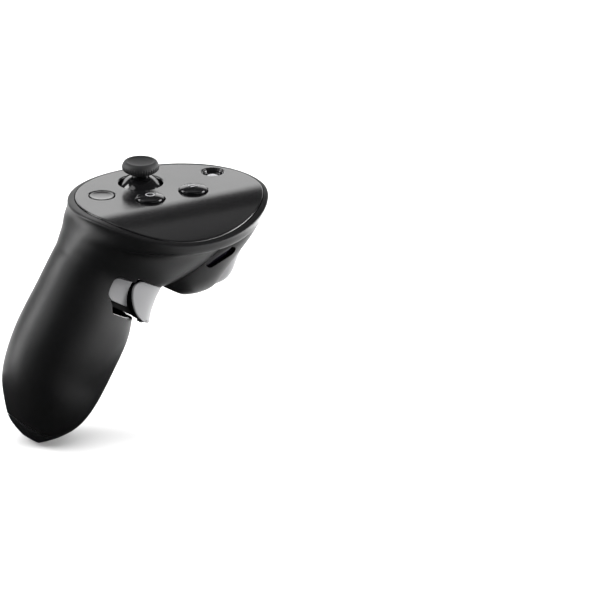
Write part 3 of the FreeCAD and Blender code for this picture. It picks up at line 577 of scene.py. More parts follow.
def place(piece, finish, body, slot, *nodes):
    """Gives a piece its finish and ties it."""
    piece.data.materials.clear()
    piece.data.materials.append(FINISHES[finish])
    tie(piece, body, slot, *nodes)


def join(pieces, name):
    """Joins pieces into the first one."""
    work = bmesh.new()
    for piece in pieces:
        work.from_mesh(piece.data)
    mesh = bpy.data.meshes.new(name)
    work.to_mesh(mesh)
    work.free()
    joined = new_object(name, mesh)
    remove(*pieces)
    return joined


# ---------------------------------------------------------------- finishes


class Layout:
    """Short ways to add and link the nodes of a tree."""

    def add(self, kind, **values):
        node = self.tree.nodes.new(kind)
        for key, value in values.items():
            setattr(node, key, value)
        return node

    def link(self, source, output, target, socket):
        self.tree.links.new(source.outputs[output], target.inputs[socket])

    def fill(self, node, values):
        for socket, value in values.items():
            node.inputs[socket].default_value = value


class Nodes(Layout):
    """One material's nodes."""

    def __init__(self, name):
        self.material = bpy.data.materials.new(name)
        self.material.use_nodes = True
        self.tree = self.material.node_tree
        self.tree.nodes.clear()
        self.shader = self.add("ShaderNodeBsdfPrincipled")
        output = self.add("ShaderNodeOutputMaterial")
        self.link(self.shader, "BSDF", output, "Surface")
        self.place = self.add("ShaderNodeTexCoord")

    def noise(self, scale, detail=2.0, roughness=0.5):
        node = self.add("ShaderNodeTexNoise")
        self.fill(node, {"Scale": scale, "Detail": detail, "Roughness": roughness})
        self.link(self.place, "Object", node, "Vector")
        return node

    def remap(self, source, output, from_low, from_high, to_low, to_high):
        node = self.add("ShaderNodeMapRange")
        self.fill(node, {"From Min": from_low, "From Max": from_high, "To Min": to_low, "To Max": to_high})
        self.link(source, output, node, "Value")
        return node

    def blend_colours(self, factor, output, low, high):
        node = self.add("ShaderNodeMix", data_type="RGBA")
        self.fill(node, {"A": (*low, 1.0), "B": (*high, 1.0)})
        self.link(factor, output, node, 0)
        return node

    def bump(self, source, output, strength, distance, before=None):
        node = self.add("ShaderNodeBump")
        self.fill(node, {"Strength": strength, "Distance": distance})
        self.link(source, output, node, "Height")
        if before is not None:
            self.link(before, "Normal", node, "Normal")
        return node


def scaled(value, factor):
    return tuple(min(1.0, channel * factor) for channel in value)


WORN_EDGE = 0.4
SOFT_EDGE = 0.18


def moulded(name, base, roughness, grain, depth, specular=0.5, spread=0.06, wear=1.6):
    """Moulded plastic: fine grain, patches of slightly different gloss, and lighter worn edges."""
    nodes = Nodes(name)
    shader = nodes.shader
    shader.inputs["Specular IOR Level"].default_value = specular
    patches = nodes.noise(55.0, 3.0, 0.55)
    gloss = nodes.remap(patches, "Fac", 0.3, 0.7, roughness - spread, roughness + spread)
    nodes.link(gloss, "Result", shader, "Roughness")
    tone = nodes.blend_colours(patches, "Fac", scaled(base, 0.85), scaled(base, 1.15))
    geometry = nodes.add("ShaderNodeNewGeometry")
    rounded = nodes.add("ShaderNodeBevel", samples=3)
    rounded.inputs["Radius"].default_value = WORN_EDGE * MM
    agree = nodes.add("ShaderNodeVectorMath", operation="DOT_PRODUCT")
    nodes.link(geometry, "Normal", agree, 0)
    nodes.link(rounded, "Normal", agree, 1)
    worn = nodes.remap(agree, "Value", 0.985, 0.9, 0.0, 0.7)
    colour_mix = nodes.add("ShaderNodeMix", data_type="RGBA")
    nodes.link(worn, "Result", colour_mix, 0)
    nodes.link(tone, "Result", colour_mix, "A")
    colour_mix.inputs["B"].default_value = (*scaled(base, wear), 1.0)
    nodes.link(colour_mix, "Result", shader, "Base Color")
    softened = nodes.add("ShaderNodeBevel", samples=3)
    softened.inputs["Radius"].default_value = SOFT_EDGE * MM
    speckle = nodes.noise(grain, 3.0, 0.6)
    bumped = nodes.bump(speckle, "Fac", 0.35, depth * MM, softened)
    nodes.link(bumped, "Normal", shader, "Normal")
    return nodes.material


def metal(name, base, roughness, grain):
    """Machined metal with fine scratches along its surface."""
    nodes = Nodes(name)
    nodes.shader.inputs["Metallic"].default_value = 1.0
    stretch = nodes.add("ShaderNodeMapping")
    stretch.inputs["Scale"].default_value = (1.0, 1.0, 14.0)
    nodes.link(nodes.place, "Object", stretch, "Vector")
    scratches = nodes.noise(grain, 4.0, 0.6)
    nodes.link(stretch, "Vector", scratches, "Vector")
    gloss = nodes.remap(scratches, "Fac", 0.3, 0.7, roughness * 0.7, roughness * 1.4)
    nodes.link(gloss, "Result", nodes.shader, "Roughness")
    tone = nodes.blend_colours(scratches, "Fac", scaled(base, 0.8), scaled(base, 1.1))
    nodes.link(tone, "Result", nodes.shader, "Base Color")
    bumped = nodes.bump(scratches, "Fac", 0.2, 0.01 * MM)
    nodes.link(bumped, "Normal", nodes.shader, "Normal")
    return nodes.material


def board_finish(name):
    """Solder mask over copper tracks, which show as a faint raised grid."""
    nodes = Nodes(name)
    tracks = nodes.add("ShaderNodeTexBrick")
    nodes.link(nodes.place, "Object", tracks, "Vector")
    nodes.fill(tracks, {"Scale": 520.0, "Mortar Size": 0.06})
    nodes.fill(tracks, {"Color1": (0.004, 0.045, 0.022, 1), "Color2": (0.006, 0.060, 0.028, 1)})
    nodes.fill(tracks, {"Mortar": (0.012, 0.11, 0.05, 1)})
    nodes.link(tracks, "Color", nodes.shader, "Base Color")
    patches = nodes.noise(180.0)
    gloss = nodes.remap(patches, "Fac", 0.3, 0.7, 0.28, 0.42)
    nodes.link(gloss, "Result", nodes.shader, "Roughness")
    bumped = nodes.bump(tracks, "Fac", 0.3, 0.02 * MM)
    nodes.link(bumped, "Normal", nodes.shader, "Normal")
    return nodes.material


FINISHES = {}


def make_finishes():
    tint = colours()
    shell = tuple(tint.shell)
    FINISHES["shell"] = moulded("soft_touch_shell", shell, 0.42, 5200.0, 0.018, specular=0.22)
    FINISHES["keel"] = moulded("satin_keel", tuple(tint.keel), 0.34, 4200.0, 0.012, specular=0.3)
    FINISHES["plate"] = moulded("satin_plate", tuple(tint.plate), 0.2, 6500.0, 0.004, 0.45, spread=0.02)
    FINISHES["key"] = moulded("polished_key", tuple(tint.key), 0.15, 3000.0, 0.003, 0.3, spread=0.02)
    FINISHES["trigger"] = moulded("satin_trigger", tuple(tint.trigger), 0.36, 5000.0, 0.008, wear=1.15)
    FINISHES["rubber"] = moulded("stick_rubber", tuple(tint.rubber), 0.58, 4200.0, 0.03, specular=0.35)
    FINISHES["gloss"] = moulded("polished_black", tuple(tint.key), 0.13, 3000.0, 0.003, spread=0.03)
    FINISHES["window"] = moulded("dark_window", (0.002, 0.0015, 0.003), 0.1, 2000.0, 0.001, 0.2, spread=0.02)
    # Near-black with very little gloss: painted shade, used on the grip trigger's side wall and in its
    # pocket.
    FINISHES["matte"] = moulded("matte_black", (0.002, 0.002, 0.002), 0.6, 3000.0, 0.01, 0.06)
    FINISHES["lens"] = moulded("sensor_lens", (0.3, 0.3, 0.31), 0.08, 2000.0, 0.001, 0.8, spread=0.02)
    FINISHES["mark"] = moulded("printed_mark", tuple(tint.mark), 0.45, 6000.0, 0.01)
    FINISHES["silicone"] = moulded("silicone", (0.42, 0.42, 0.43), 0.5, 2500.0, 0.02)
    FINISHES["frame"] = moulded("moulded_frame", (0.035, 0.035, 0.038), 0.5, 3000.0, 0.03)
    FINISHES["cell"] = moulded("foil_cell", (0.16, 0.17, 0.19), 0.3, 700.0, 0.05)
    FINISHES["board"] = board_finish("solder_mask")
    FINISHES["steel"] = metal("ground_steel", (0.52, 0.52, 0.54), 0.25, 900.0)
    FINISHES["gold"] = metal("gold_plate", (0.83, 0.62, 0.26), 0.22, 700.0)


def paint_nodes(finish, *nodes):
    """Gives frame nodes their finish through their material slots."""
    for node in nodes:
        for holder in frame["nodes"][node].material_slots:
            holder.material = FINISHES[finish]


# ---------------------------------------------------------------- shells


def shell_rows():
    """The whole shell as one skin: socket, outside, rolled rim, seat of the plate, and inside."""
    size = sizes()
    wall = size.wall / MM
    roll = size.rim_round / MM
    gap = size.plate_gap / MM
    turns = full_turn()
    socket = mount("tip_socket")["dims"]

    def socket_row(radius, up):
        circle = np.outer(np.cos(turns), FORE) + np.outer(np.sin(turns), SIDE)
        return circle * radius + UP_GRIP * up

    bore = socket["r_mm"]
    rows = [socket_row(0.05, socket["length_mm"]), socket_row(bore, socket["length_mm"])]
    rows += [socket_row(bore, 0.45), socket_row(bore + 0.12, 0.18), socket_row(bore + 0.4, 0.02)]
    dense = smooth_rows(body_rings(), 700)
    outside = rows_under_face(dense, RIM_DROP, 260)
    tip = outside[0]
    rows += [tip * 0.55 + socket_row(bore + 0.4, 0.02) * 0.45]
    rows += list(outside[:-3])
    lip = outside[-1]
    inner_edge = plate_outline(gap, RIM_DROP)
    near_lip = toward(lip, outside[-8], roll)
    half_lip = np.linalg.norm(inner_edge - lip, axis=1, keepdims=True) * 0.5
    along = toward(lip, inner_edge, np.minimum(roll, half_lip))
    rows += rounded_corner(near_lip, lip, along, 6)
    seat = PLATE_THICK + GASKET_THICK
    wall_foot = plate_outline(gap, seat)
    rows += rounded_corner(toward(inner_edge, along, 0.2), inner_edge, toward(inner_edge, wall_foot, 0.2), 3)
    rows += [wall_foot, plate_outline(-1.6, seat), plate_outline(-1.6, seat + 1.3)]
    hollow = rows_under_face(smooth_rows(body_rings(wall), 300), RIM_DROP + seat + 1.3, 70)[::-1]
    plug = socket["length_mm"] + 1.5
    for row in hollow:
        if (row @ UP_GRIP).min() > plug:
            rows.append(row)
    return np.array(rows)


def keel_outline(shift):
    """Side view of the keel's zone: in front of and under a line a keel's depth in."""
    half_depth = GRIP_DEPTH / 2
    deep = 4.5
    high = 56.8
    points = []
    for share, _, front, _ in GRIP_RINGS[1:6]:
        fore = half_depth * front - GRIP_OFFSET - deep * (1 + 0.35 * share**4)
        points.append((fore, GRIP_LENGTH * (1 - share)))
    points[0] = (points[0][0], high)
    points += [(0, deep * 1.05), (-0.3 * half_depth, deep * 0.95)]
    points += [(-0.65 * half_depth, deep * 1.25), (-1.25 * half_depth, deep * 2.6)]
    line = smooth_rows(np.array(points)[:, None, :], 60)[:, 0, :]
    tangent = np.gradient(line, axis=0)
    tangent /= np.linalg.norm(tangent, axis=1, keepdims=True)
    line = line + np.stack([-tangent[:, 1], tangent[:, 0]], axis=1) * shift
    ends = [(line[-1][0], -60), (60, -60), (60, line[0][1])]
    return [grip_point(x, -60, z) for x, z in [*line, *ends]]


def rounded_outline(low, high, radius, steps=6):
    """A rectangle with round corners, as pairs of coordinates."""
    points = []
    for corner_x, corner_y, start in (
        (high[0] - radius, high[1] - radius, 0),
        (low[0] + radius, high[1] - radius, 90),
        (low[0] + radius, low[1] + radius, 180),
        (high[0] - radius, low[1] + radius, 270),
    ):
        for step in range(steps + 1):
            turn = math.radians(start + 90 * step / steps)
            points.append((corner_x + radius * math.cos(turn), corner_y + radius * math.sin(turn)))
    return points


PADDLE_LOW = 57.3
PADDLE_HIGH = 71.4
PADDLE_X = 15.1
PADDLE_ROUND = 15.5
PADDLE_END = 1.0
PADDLE_PROUD = 5.3
PADDLE_MIDDLE = (PADDLE_LOW + PADDLE_HIGH) / 2 + 8.65
CHEEK_LOW = 60.5
CHEEK_HIGH = 69.6
CHEEK_BACK = -7.2
CHEEK_DEPTH = 1.3
CHEEK_GAP = 0.7
CHEEK_ROUND = 2.4
CHEEK_ROOM = 0.4
PADDLE_ROOM = 0.55
POCKET_LOW = PADDLE_LOW - 1.1
POCKET_HIGH = PADDLE_HIGH + 0.5
WEB_DEPTH = 3.4
WEB_LOW = PADDLE_LOW + 0.9
WEB_BACK = 4.2


def pocket_outline(grow, low, high):
    """Side view of the grip trigger's pocket: a strip with a round back end."""
    radius = PADDLE_ROUND + grow
    top = math.asin(min(1.0, (high - PADDLE_MIDDLE) / radius))
    bottom = math.asin(max(-1.0, (low - PADDLE_MIDDLE) / radius))
    points = [(60, low), (60, high)]
    for turn in np.linspace(top, bottom, 40):
        points.append((PADDLE_X - radius * math.cos(turn), PADDLE_MIDDLE + radius * math.sin(turn)))
    return points


def side_bar(name, outline, reach):
    """A bar across the handle on a side view's outline, from far on the inner side to a reach."""
    return prism(name, [grip_point(x, -60, z) for x, z in outline], np.zeros(3), SIDE * (60 + reach))


def pocket_tools():
    """The grip trigger's pocket: room for the paddle, the cheek's window and the space under it."""
    low = POCKET_LOW
    mouth = side_bar("pocket", pocket_outline(PADDLE_ROOM, low, POCKET_HIGH), PADDLE_END + 4.2)
    tall = CHEEK_HIGH - CHEEK_LOW
    outline = [(PADDLE_X, CHEEK_HIGH + CHEEK_ROOM), (PADDLE_X, CHEEK_LOW - CHEEK_ROOM)]
    for share in edge_spacing(33):
        height = CHEEK_LOW + tall * share
        near = min(height - CHEEK_LOW, CHEEK_HIGH - height)
        back = cheek_back(share) - CHEEK_ROOM + corner_cut(CHEEK_ROUND, near)
        outline.append((back, height + 2 * CHEEK_ROOM * (share - 0.5)))
    window = side_bar("cheek_window", outline, 0)
    outline = [(CHEEK_BACK + 3.5, low + 1.2), (CHEEK_BACK + 4.0, low + 0.35), (CHEEK_BACK + 4.9, low)]
    outline += [(PADDLE_X, low), (PADDLE_X, CHEEK_LOW + 0.6), (CHEEK_BACK + 1.2, CHEEK_LOW + 0.6)]
    outline += [(CHEEK_BACK + 1.2, CHEEK_LOW - 0.3), (CHEEK_BACK + 2.4, CHEEK_LOW - 1.2)]
    return mouth, window, side_bar("foot", outline, 0)


def pod_mouth():
    rows = smooth_rows(pod_rings(3.0), 60)
    rows = rows[rows[:, 0, 2] < FACE[2] - POD_DEPTH * 0.3]
    return tube("pod_mouth", rows)


def build_shell():
    seam = sizes().seam / MM
    shell = tube("grip_shell_skin", shell_rows())
    keel = copy_piece(shell, "keel_skin")
    carve(shell, pod_mouth())
    carve(shell, prism("zone", keel_outline(0.0), np.zeros(3), SIDE * 120))
    for tool in pocket_tools():
        carve(shell, tool)
    carve(keel, prism("zone", keel_outline(seam), np.zeros(3), SIDE * 120), "INTERSECT")
    for piece in (shell, keel):
        smooth(piece, 34)
    place(shell, "shell", "root", "shell", "grip_shell")
    place(keel, "keel", "root", "keel", "keel_cover")


def build_front_cover():
    """The pod under the head, with the mouth of the index trigger and the side window's slot."""
    seam = sizes().seam / MM
    wall = sizes().wall / MM
    cover = tube("front_cover_skin", smooth_rows(pod_rings(), 150))
    carve(cover, tube("body", smooth_rows(body_rings(-seam * 0.6), 260)))
    carve(cover, tube("hollow", smooth_rows(pod_rings(wall), 80)))
    lid = POD_DEPTH * 0.2
    carve(cover, block("lid", FACE + (-90, -90, -lid), FACE + (90, 90, 60)))
    half = INDEX_WIDTH / 2
    low = FACE[2] + INDEX_Z - 2.12 * half
    high = FACE[2] + INDEX_Z + 0.42 * half
    outline = rounded_outline((-half - 0.35, low), (half + 0.35, high), 2.6, 8)
    start = np.array([FACE[0] + INDEX_X - 1.3 * half, 0, 0])
    mouth = prism("mouth", [(0, y, z) for y, z in outline], start, np.array([80.0, 0, 0]))
    carve(cover, mouth)
    carve(cover, window_bar(0.12))
    for tool in pocket_tools():
        carve(cover, tool)
    smooth(cover, 34)
    place(cover, "shell", "root", "shell", "front_cover")
    glass = window_bar(0.0)
    carve(glass, tube("glass_front", smooth_rows(pod_rings(1.2), 90)), "INTERSECT")
    carve(glass, tube("glass_back", smooth_rows(pod_rings(wall), 80)))
    smooth(glass, 34)
    glass.name = "side_window_glass"
    place(glass, "window", "root", "window", "side_window")


INDEX_X = 20.0
INDEX_Z = -17.5
INDEX_WIDTH = 19.6
INDEX_WALL = 2.2
WINDOW_AT = (10.5, -20.4)
WINDOW_SIZE = (12.4, 4.2)
WINDOW_SLOPE = math.radians(24.0)


def window_bar(grow):
    half_long = WINDOW_SIZE[0] / 2 + grow
    half_high = WINDOW_SIZE[1] / 2 + grow
    outline = rounded_outline((-half_long, -half_high), (half_long, half_high), half_high - 0.01, 10)
    cosine, sine = math.cos(WINDOW_SLOPE), math.sin(WINDOW_SLOPE)
    points = [(x * cosine - z * sine, 0.0, x * sine + z * cosine) for x, z in outline]
    start = FACE + np.array([WINDOW_AT[0], -65.0, WINDOW_AT[1]])
    return prism("window_bar", points, start, SIDE * 60)


# ---------------------------------------------------------------- face plate and keys


HOLES = {
    "rear": (-8.9, -0.6, 5.45),
    "front": (9.5, -0.6, 5.45),
    "menu": (-22.4, 11.8, 4.9),
    "sensor": (25.4, 12.9, 4.1),
    "stick": (-3.2, 16.6, 8.3),
}
POSTS = ((-18.3, -9.5), (0.0, -9.5), (18.3, -9.5))


def hole_tool(east, north, radius, lip):
    profile = [(0, -12), (radius, -12)]
    for turn in np.linspace(0, np.pi / 2, 7):
        profile.append((radius + lip * (1 - math.cos(turn)), -lip * (1 - math.sin(turn))))
    profile += [(radius + lip, 3), (0, 3)]
    return turned("hole", profile, over_face(east, north), 128)


def build_plate():
    edge = sizes().plate_round / MM
    rows = [plate_outline(0, 0, share) for share in np.linspace(0.004, 0.965, 60)]
    rim = plate_outline(0, 0)
    foot = plate_outline(0, PLATE_THICK)
    rows += rounded_corner(toward(rim, rows[-2], edge), rim, toward(rim, foot, edge * 0.8), 7)
    rows += [foot]
    rows += [plate_outline(0, PLATE_THICK, share) for share in np.linspace(0.985, 0.004, 40)]
    plate = tube("face_plate_skin", rows)
    for east, north, radius in HOLES.values():
        carve(plate, hole_tool(east, north, radius, 0.55))
    posts = []
    low = corners_mm("face_plate")[0]
    for east, north in POSTS:
        profile = [(0.95, low[2]), (1.9, low[2], 0.2), (1.9, FACE[2] - 0.5), (0.95, FACE[2] - 0.5)]
        origin = np.array([FACE[0] + east, north, 0.0])
        posts.append(turned("post", profile, origin, 32))
    smooth(plate, 34)
    plate = join([plate, *posts], "face_plate_skin")
    place(plate, "plate", "root", "plate", "face_plate")


KEY_RADIUS = 5.15
KEY_RISE = 1.9
KEY_CROWN = 0.85


def key_profile(low, corner):
    """Half profile of a round key: flange, side and a crowned top."""
    foot = KEY_RADIUS + 0.9
    profile = [(0, low), (foot, low, 0.1), (foot, low + 1.0, 0.2), (KEY_RADIUS, low + 1.0, 0.1)]
    profile.append((KEY_RADIUS, KEY_RISE - KEY_CROWN, corner))
    for share in np.linspace(0.86, 0.0, 9):
        profile.append((KEY_RADIUS * share, KEY_RISE - KEY_CROWN * share**2))
    return profile


def mark_patch(name, key, outline):
    """A printed mark on a key's crowned top: outline gives its grid in the key's plane."""
    east, north, _ = HOLES[key]
    grid = []
    for row in outline:
        heights = [KEY_RISE - KEY_CROWN * (x**2 + y**2) / KEY_RADIUS**2 for x, y in row]
        grid.append([(east + x, north + y, height + 0.025) for (x, y), height in zip(row, heights)])
    patch = panel(name, FACE + np.array(grid), 0.12, 0.02)
    place(patch, "mark", f"{key}_button", "key")


def ring_grid(inner, outer, start, end, count):
    turns = np.linspace(math.radians(start), math.radians(end), count)
    return [[(r * math.cos(t), r * math.sin(t)) for t in turns] for r in np.linspace(outer, inner, 4)]


def bar_grid(along, across, shift):
    rows = []
    for y in np.linspace(across / 2, -across / 2, 4):
        rows.append([(x, y + shift) for x in np.linspace(-along / 2, along / 2, 14)])
    return rows


def build_keys():
    corner = sizes().key_round / MM
    low = -(PLATE_THICK + 1.1)
    for key in ("rear", "front"):
        east, north, _ = HOLES[key]
        cap = turned(f"{key}_key", key_profile(low, corner), over_face(east, north), 128)
        place(cap, "key", f"{key}_button", "key", f"{key}_button")
    east, north, _ = HOLES["menu"]
    profile = [(0, low), (5.5, low, 0.1), (5.5, low + 1.0, 0.2), (4.6, low + 1.0, 0.1), (4.6, -0.02, 0.35)]
    profile += [(4.1, -0.02, 0.3), (3.4, -0.12, 0.3), (2.4, -0.2, 0.4), (1.2, -0.24), (0, -0.25)]
    cap = turned("menu_key", profile, over_face(east, north), 128)
    place(cap, "plate", "menu_button", "key", "menu_button")
    mark_patch("rear_mark", "rear", ring_grid(1.35, 1.75, 0, 359.9, 65))
    for number, shift in ((1, 0.75), (2, -0.75)):
        mark_patch(f"front_mark_{number}", "front", bar_grid(3.2, 0.42, shift))
    paint_nodes("silicone", "rear_dome", "front_dome", "menu_dome")


def build_sensor():
    """The proximity sensor in the plate: cup, lens and parts behind."""
    origin = over_face(*HOLES["sensor"][:2])
    cup = [(0, -2.5), (4.05, -2.5), (4.05, -0.5, 0.1), (3.75, -0.52, 0.15), (3.3, -1.9, 0.4)]
    cup += [(2.45, -2.05, 0.1), (2.45, -2.3), (0, -2.3)]
    piece = turned("sensor_bezel", cup, origin, 96)
    place(piece, "gloss", "root", "frame", "sensor_cup")
    lens = [(0, -2.28), (2.38, -2.28), (2.38, -1.75, 0.15)]
    lens += [(2.38 * share, -1.12 - 0.55 * share**2) for share in np.linspace(0.92, 0, 9)]
    piece = turned("sensor_glass", lens, origin, 96)
    place(piece, "lens", "root", "window", "sensor_lens")
    paint_nodes("frame", "sensor_module")
    paint_nodes("board", "sensor_board")


# ---------------------------------------------------------------- thumbstick


def build_stick():
    axis = np.array([PIVOT[0], PIVOT[1], FACE[2]])
    cap = [(0, 4.05), (3.0, 4.05), (4.2, 3.95, 0.6), (6.0, 4.4, 1.2), (6.86, 5.9, 1.1), (6.78, 7.35, 0.9)]
    cap += [(5.95, 8.5, 0.8), (5.15, 8.55, 0.35), (4.6, 8.15, 0.6), (2.6, 7.78, 1.0), (1.2, 7.7), (0, 7.68)]
    piece = turned("stick_grip", cap, axis, 160)
    place(piece, "rubber", "stick", "stick_rubber", "stick_cap")
    drop = PIVOT[2] - FACE[2]
    low = drop - 1.85
    step = drop + 2.80
    stem = [(0, low), (1.4, low, 0.2), (1.4, step), (3.0, step, 0.3)]
    stem += [(3.0, 1.4, 0.5), (3.35, 2.6, 0.8), (3.3, 4.1), (0, 4.1)]
    piece = turned("stick_post", stem, axis, 96)
    place(piece, "gloss", "stick", "stick_plastic", "stick_stem")
    outer, inner = 8.7, 8.0
    neck = 3.0
    inside = np.linspace(math.asin(4.35 / inner), math.acos(neck / inner), 12)
    outside = np.linspace(math.acos(neck / outer), math.asin(0.5), 24)
    skirt = [(inner * math.cos(t), inner * math.sin(t)) for t in inside]
    skirt += [(outer * math.cos(t), outer * math.sin(t)) for t in outside]
    piece = turned_tube("stick_dome", skirt, PIVOT, 128)
    place(piece, "gloss", "stick", "stick_plastic", "stick_skirt")
    paint_nodes("frame", "stick_hub", "stick_ring", "stick_case")
    paint_nodes("steel", "stick_switch")


# ---------------------------------------------------------------- triggers


def index_surface(count, columns):
    """The index trigger's outer face: rows from its foot to its top."""
    half = INDEX_WIDTH / 2
    rings = []
    fine = full_turn(720)
    for up, reach, side in INDEX_RINGS:
        level = FACE + np.array([INDEX_X, 0, INDEX_Z + up * half])
        front = level + np.array([reach * half, 0, 0])
        rings.append(ring(front - np.array([half * 1.5, 0, 0]), front, side * half, 0.0, 0.0, fine))
    dense = smooth_rows(np.array(rings), 400)
    hinge = FACE + np.array([INDEX_X, 0, INDEX_Z])
    lean = math.radians(20)
    normal = np.array([math.cos(lean), 0, -math.sin(lean)])
    grid = []
    for share in edge_spacing(count):
        ahead = np.roll(between(dense, share * (len(dense) - 1)), 360, axis=0)
        depth = (ahead - hinge) @ normal - 0.1 * half
        grid.append(spread(ahead[depth > 0], columns))
    return np.array(grid)


def build_index_trigger():
    half = INDEX_WIDTH / 2
    grid = index_surface(90, 110)
    lever = panel("index_lever_skin", grid[::-1], INDEX_WALL * 0.9, 0.7)
    outer = half * 0.72
    hinge = np.array([INDEX_PIVOT[0], 0.0, INDEX_PIVOT[2]])
    parts = [lever]
    axes = (np.array([0, 0, 1.0]), np.array([1.0, 0, 0]), np.array([0, 1.0, 0]))
    for sign in (-1, 1):
        near, far = sorted((sign * outer * 0.36, sign * outer))
        boss = [(1.06, near), (2.4, near, 0.2), (2.4, far, 0.2), (1.06, far)]
        parts.append(turned_tube("boss", boss, hinge, 48, axes))
        side = sign * (outer - 0.8)
        arm_low = hinge + np.array([1.6, side - 0.8, -2.2])
        arm_high = hinge + np.array([half * 0.98, side + 0.8, 1.2])
        parts.append(block("arm", arm_low, arm_high, 0.2))
    lever = join(parts, "index_lever")
    place(lever, "trigger", "index_trigger", "trigger", "index_trigger")
    paint_nodes("steel", "index_pin")
    paint_nodes("frame", "index_bracket")


def turned_tube(name, outline, origin, steps, axes=np.eye(3)):
    """A ring turned round the third axis, from a closed outline of radius, height and rounding."""
    path = []
    for number, item in enumerate(outline):
        corner = np.array(item[:2], dtype=float)
        amount = item[2] if len(item) > 2 else 0.0
        if amount <= 0:
            path.append(corner)
            continue
        before = np.array(outline[number - 1][:2], dtype=float)
        after = np.array(outline[(number + 1) % len(outline)][:2], dtype=float)
        start, end = toward(corner, before, amount), toward(corner, after, amount)
        path.extend(rounded_corner(start, corner, end, 4))
    right, ahead, up = axes
    points, faces = [], []
    for radius, height in path:
        for turn in full_turn(steps):
            side = right * radius * math.cos(turn) + ahead * radius * math.sin(turn)
            points.append(origin + side + up * height)
    for row in range(len(path)):
        start, above = row * steps, (row + 1) % len(path) * steps
        for column in range(steps):
            after = (column + 1) % steps
            faces.append((start + column, start + after, above + after, above + column))
    piece = new_piece(name, points, faces)
    face_outwards(piece)
    smooth(piece)
    return piece


def between(rows, position):
    """A row at a fractional position among rows."""
    low = int(min(math.floor(position), len(rows) - 2))
    share = position - low
    return rows[low] * (1 - share) + rows[low + 1] * share


def spread(line, columns):
    """Points along a line, crowded at both ends."""
    steps = np.linalg.norm(np.diff(line, axis=0), axis=1)
    walk = np.concatenate([[0], np.cumsum(steps)])
    places = edge_spacing(columns) * walk[-1]
    return np.stack([np.interp(places, walk, line[:, k]) for k in range(3)], axis=1)


def corner_cut(radius, near):
    """How far an outline with a round corner stands back at a distance from its edge."""
    return radius - math.sqrt(max(0.0, radius**2 - max(0.0, radius - near) ** 2))


def arc_back(height, grow=0.0):
    """Where the paddle's round back edge lies at one height."""
    drop = height - PADDLE_MIDDLE
    return PADDLE_X - math.sqrt(max(0.05, (PADDLE_ROUND + grow) ** 2 - drop**2))


def in_order(row, keep):
    """The kept points of a closed row, in order from the inner side round the front."""
    kept = np.nonzero(keep)[0]
    half = len(row) // 2
    return row[np.sort((kept + half) % len(row) - half)]


def paddle_rows():
    """Rows of the body that the paddle is cut from."""
    fine = full_turn(2880)
    half_depth = GRIP_DEPTH / 2
    tall = PADDLE_HIGH - PADDLE_LOW
    rings = []
    for share, proud in PADDLE_RINGS:
        centre = UP_GRIP * (PADDLE_LOW + tall * share) - FORE * GRIP_OFFSET
        front = centre + FORE * (half_depth * 0.93 + PADDLE_PROUD * proud)
        rings.append(ring(centre - FORE * half_depth, front, GRIP_WIDTH / 2, 0.0, 0.0, fine))
    return smooth_rows(np.array(rings), 200)


def paddle_surface(count, columns):
    """The grip trigger's outer face, from its round back end round the handle's front."""
    dense = paddle_rows()
    grid = []
    for share in edge_spacing(count):
        row = between(dense, share * (len(dense) - 1))
        height = row[0] @ UP_GRIP
        back = arc_back(height) + corner_cut(4.5, PADDLE_HIGH - height)
        keep = (row @ FORE > back) & (row[:, 1] < PADDLE_END) & ((row[:, 1] < 0) | (row @ FORE > 0))
        grid.append(spread(in_order(row, keep), columns))
    return np.array(grid)


def web_surface(count, columns):
    """The trigger's inner web behind the cheek and the paddle; its near-black finish is painted shade of the
    pocket's recess.
    """
    rows = paddle_rows()
    heights = (rows @ UP_GRIP).mean(axis=1)
    grid = []
    for share in edge_spacing(count):
        height = WEB_LOW + (CHEEK_HIGH - WEB_LOW) * share
        row = between(rows, np.interp(height, heights, np.arange(len(rows))))
        keep = (row @ FORE > CHEEK_BACK + WEB_BACK) & (row[:, 1] < PADDLE_END)
        keep &= (row[:, 1] < 0) | (row @ FORE > 0)
        grid.append(spread(in_order(row, keep), columns))
    return sunk(np.array(grid), WEB_DEPTH)


def cheek_back(share):
    """The cheek's bowed back edge at a share of its height."""
    return CHEEK_BACK + 0.3 - 1.6 * (1 - (1 - share) ** 3)


def cheek_surface(count, columns):
    """A patch of the handle's side behind the paddle's round back edge."""
    dense = smooth_rows(body_rings(CHEEK_DEPTH, full_turn(2880)), 700)
    heights = (dense @ UP_GRIP).mean(axis=1)
    grid = []
    for share in edge_spacing(count):
        height = CHEEK_LOW + (CHEEK_HIGH - CHEEK_LOW) * share
        row = between(dense, np.interp(height, heights, np.arange(len(dense))))
        near = min(height - CHEEK_LOW, CHEEK_HIGH - height)
        back = cheek_back(share) + corner_cut(CHEEK_ROUND, near)
        front = arc_back(height, CHEEK_GAP)
        fore = row @ FORE
        kept = np.nonzero((fore > back) & (fore < front) & (row[:, 1] < -6))[0]
        grid.append(spread(row[kept], columns))
    return np.array(grid)


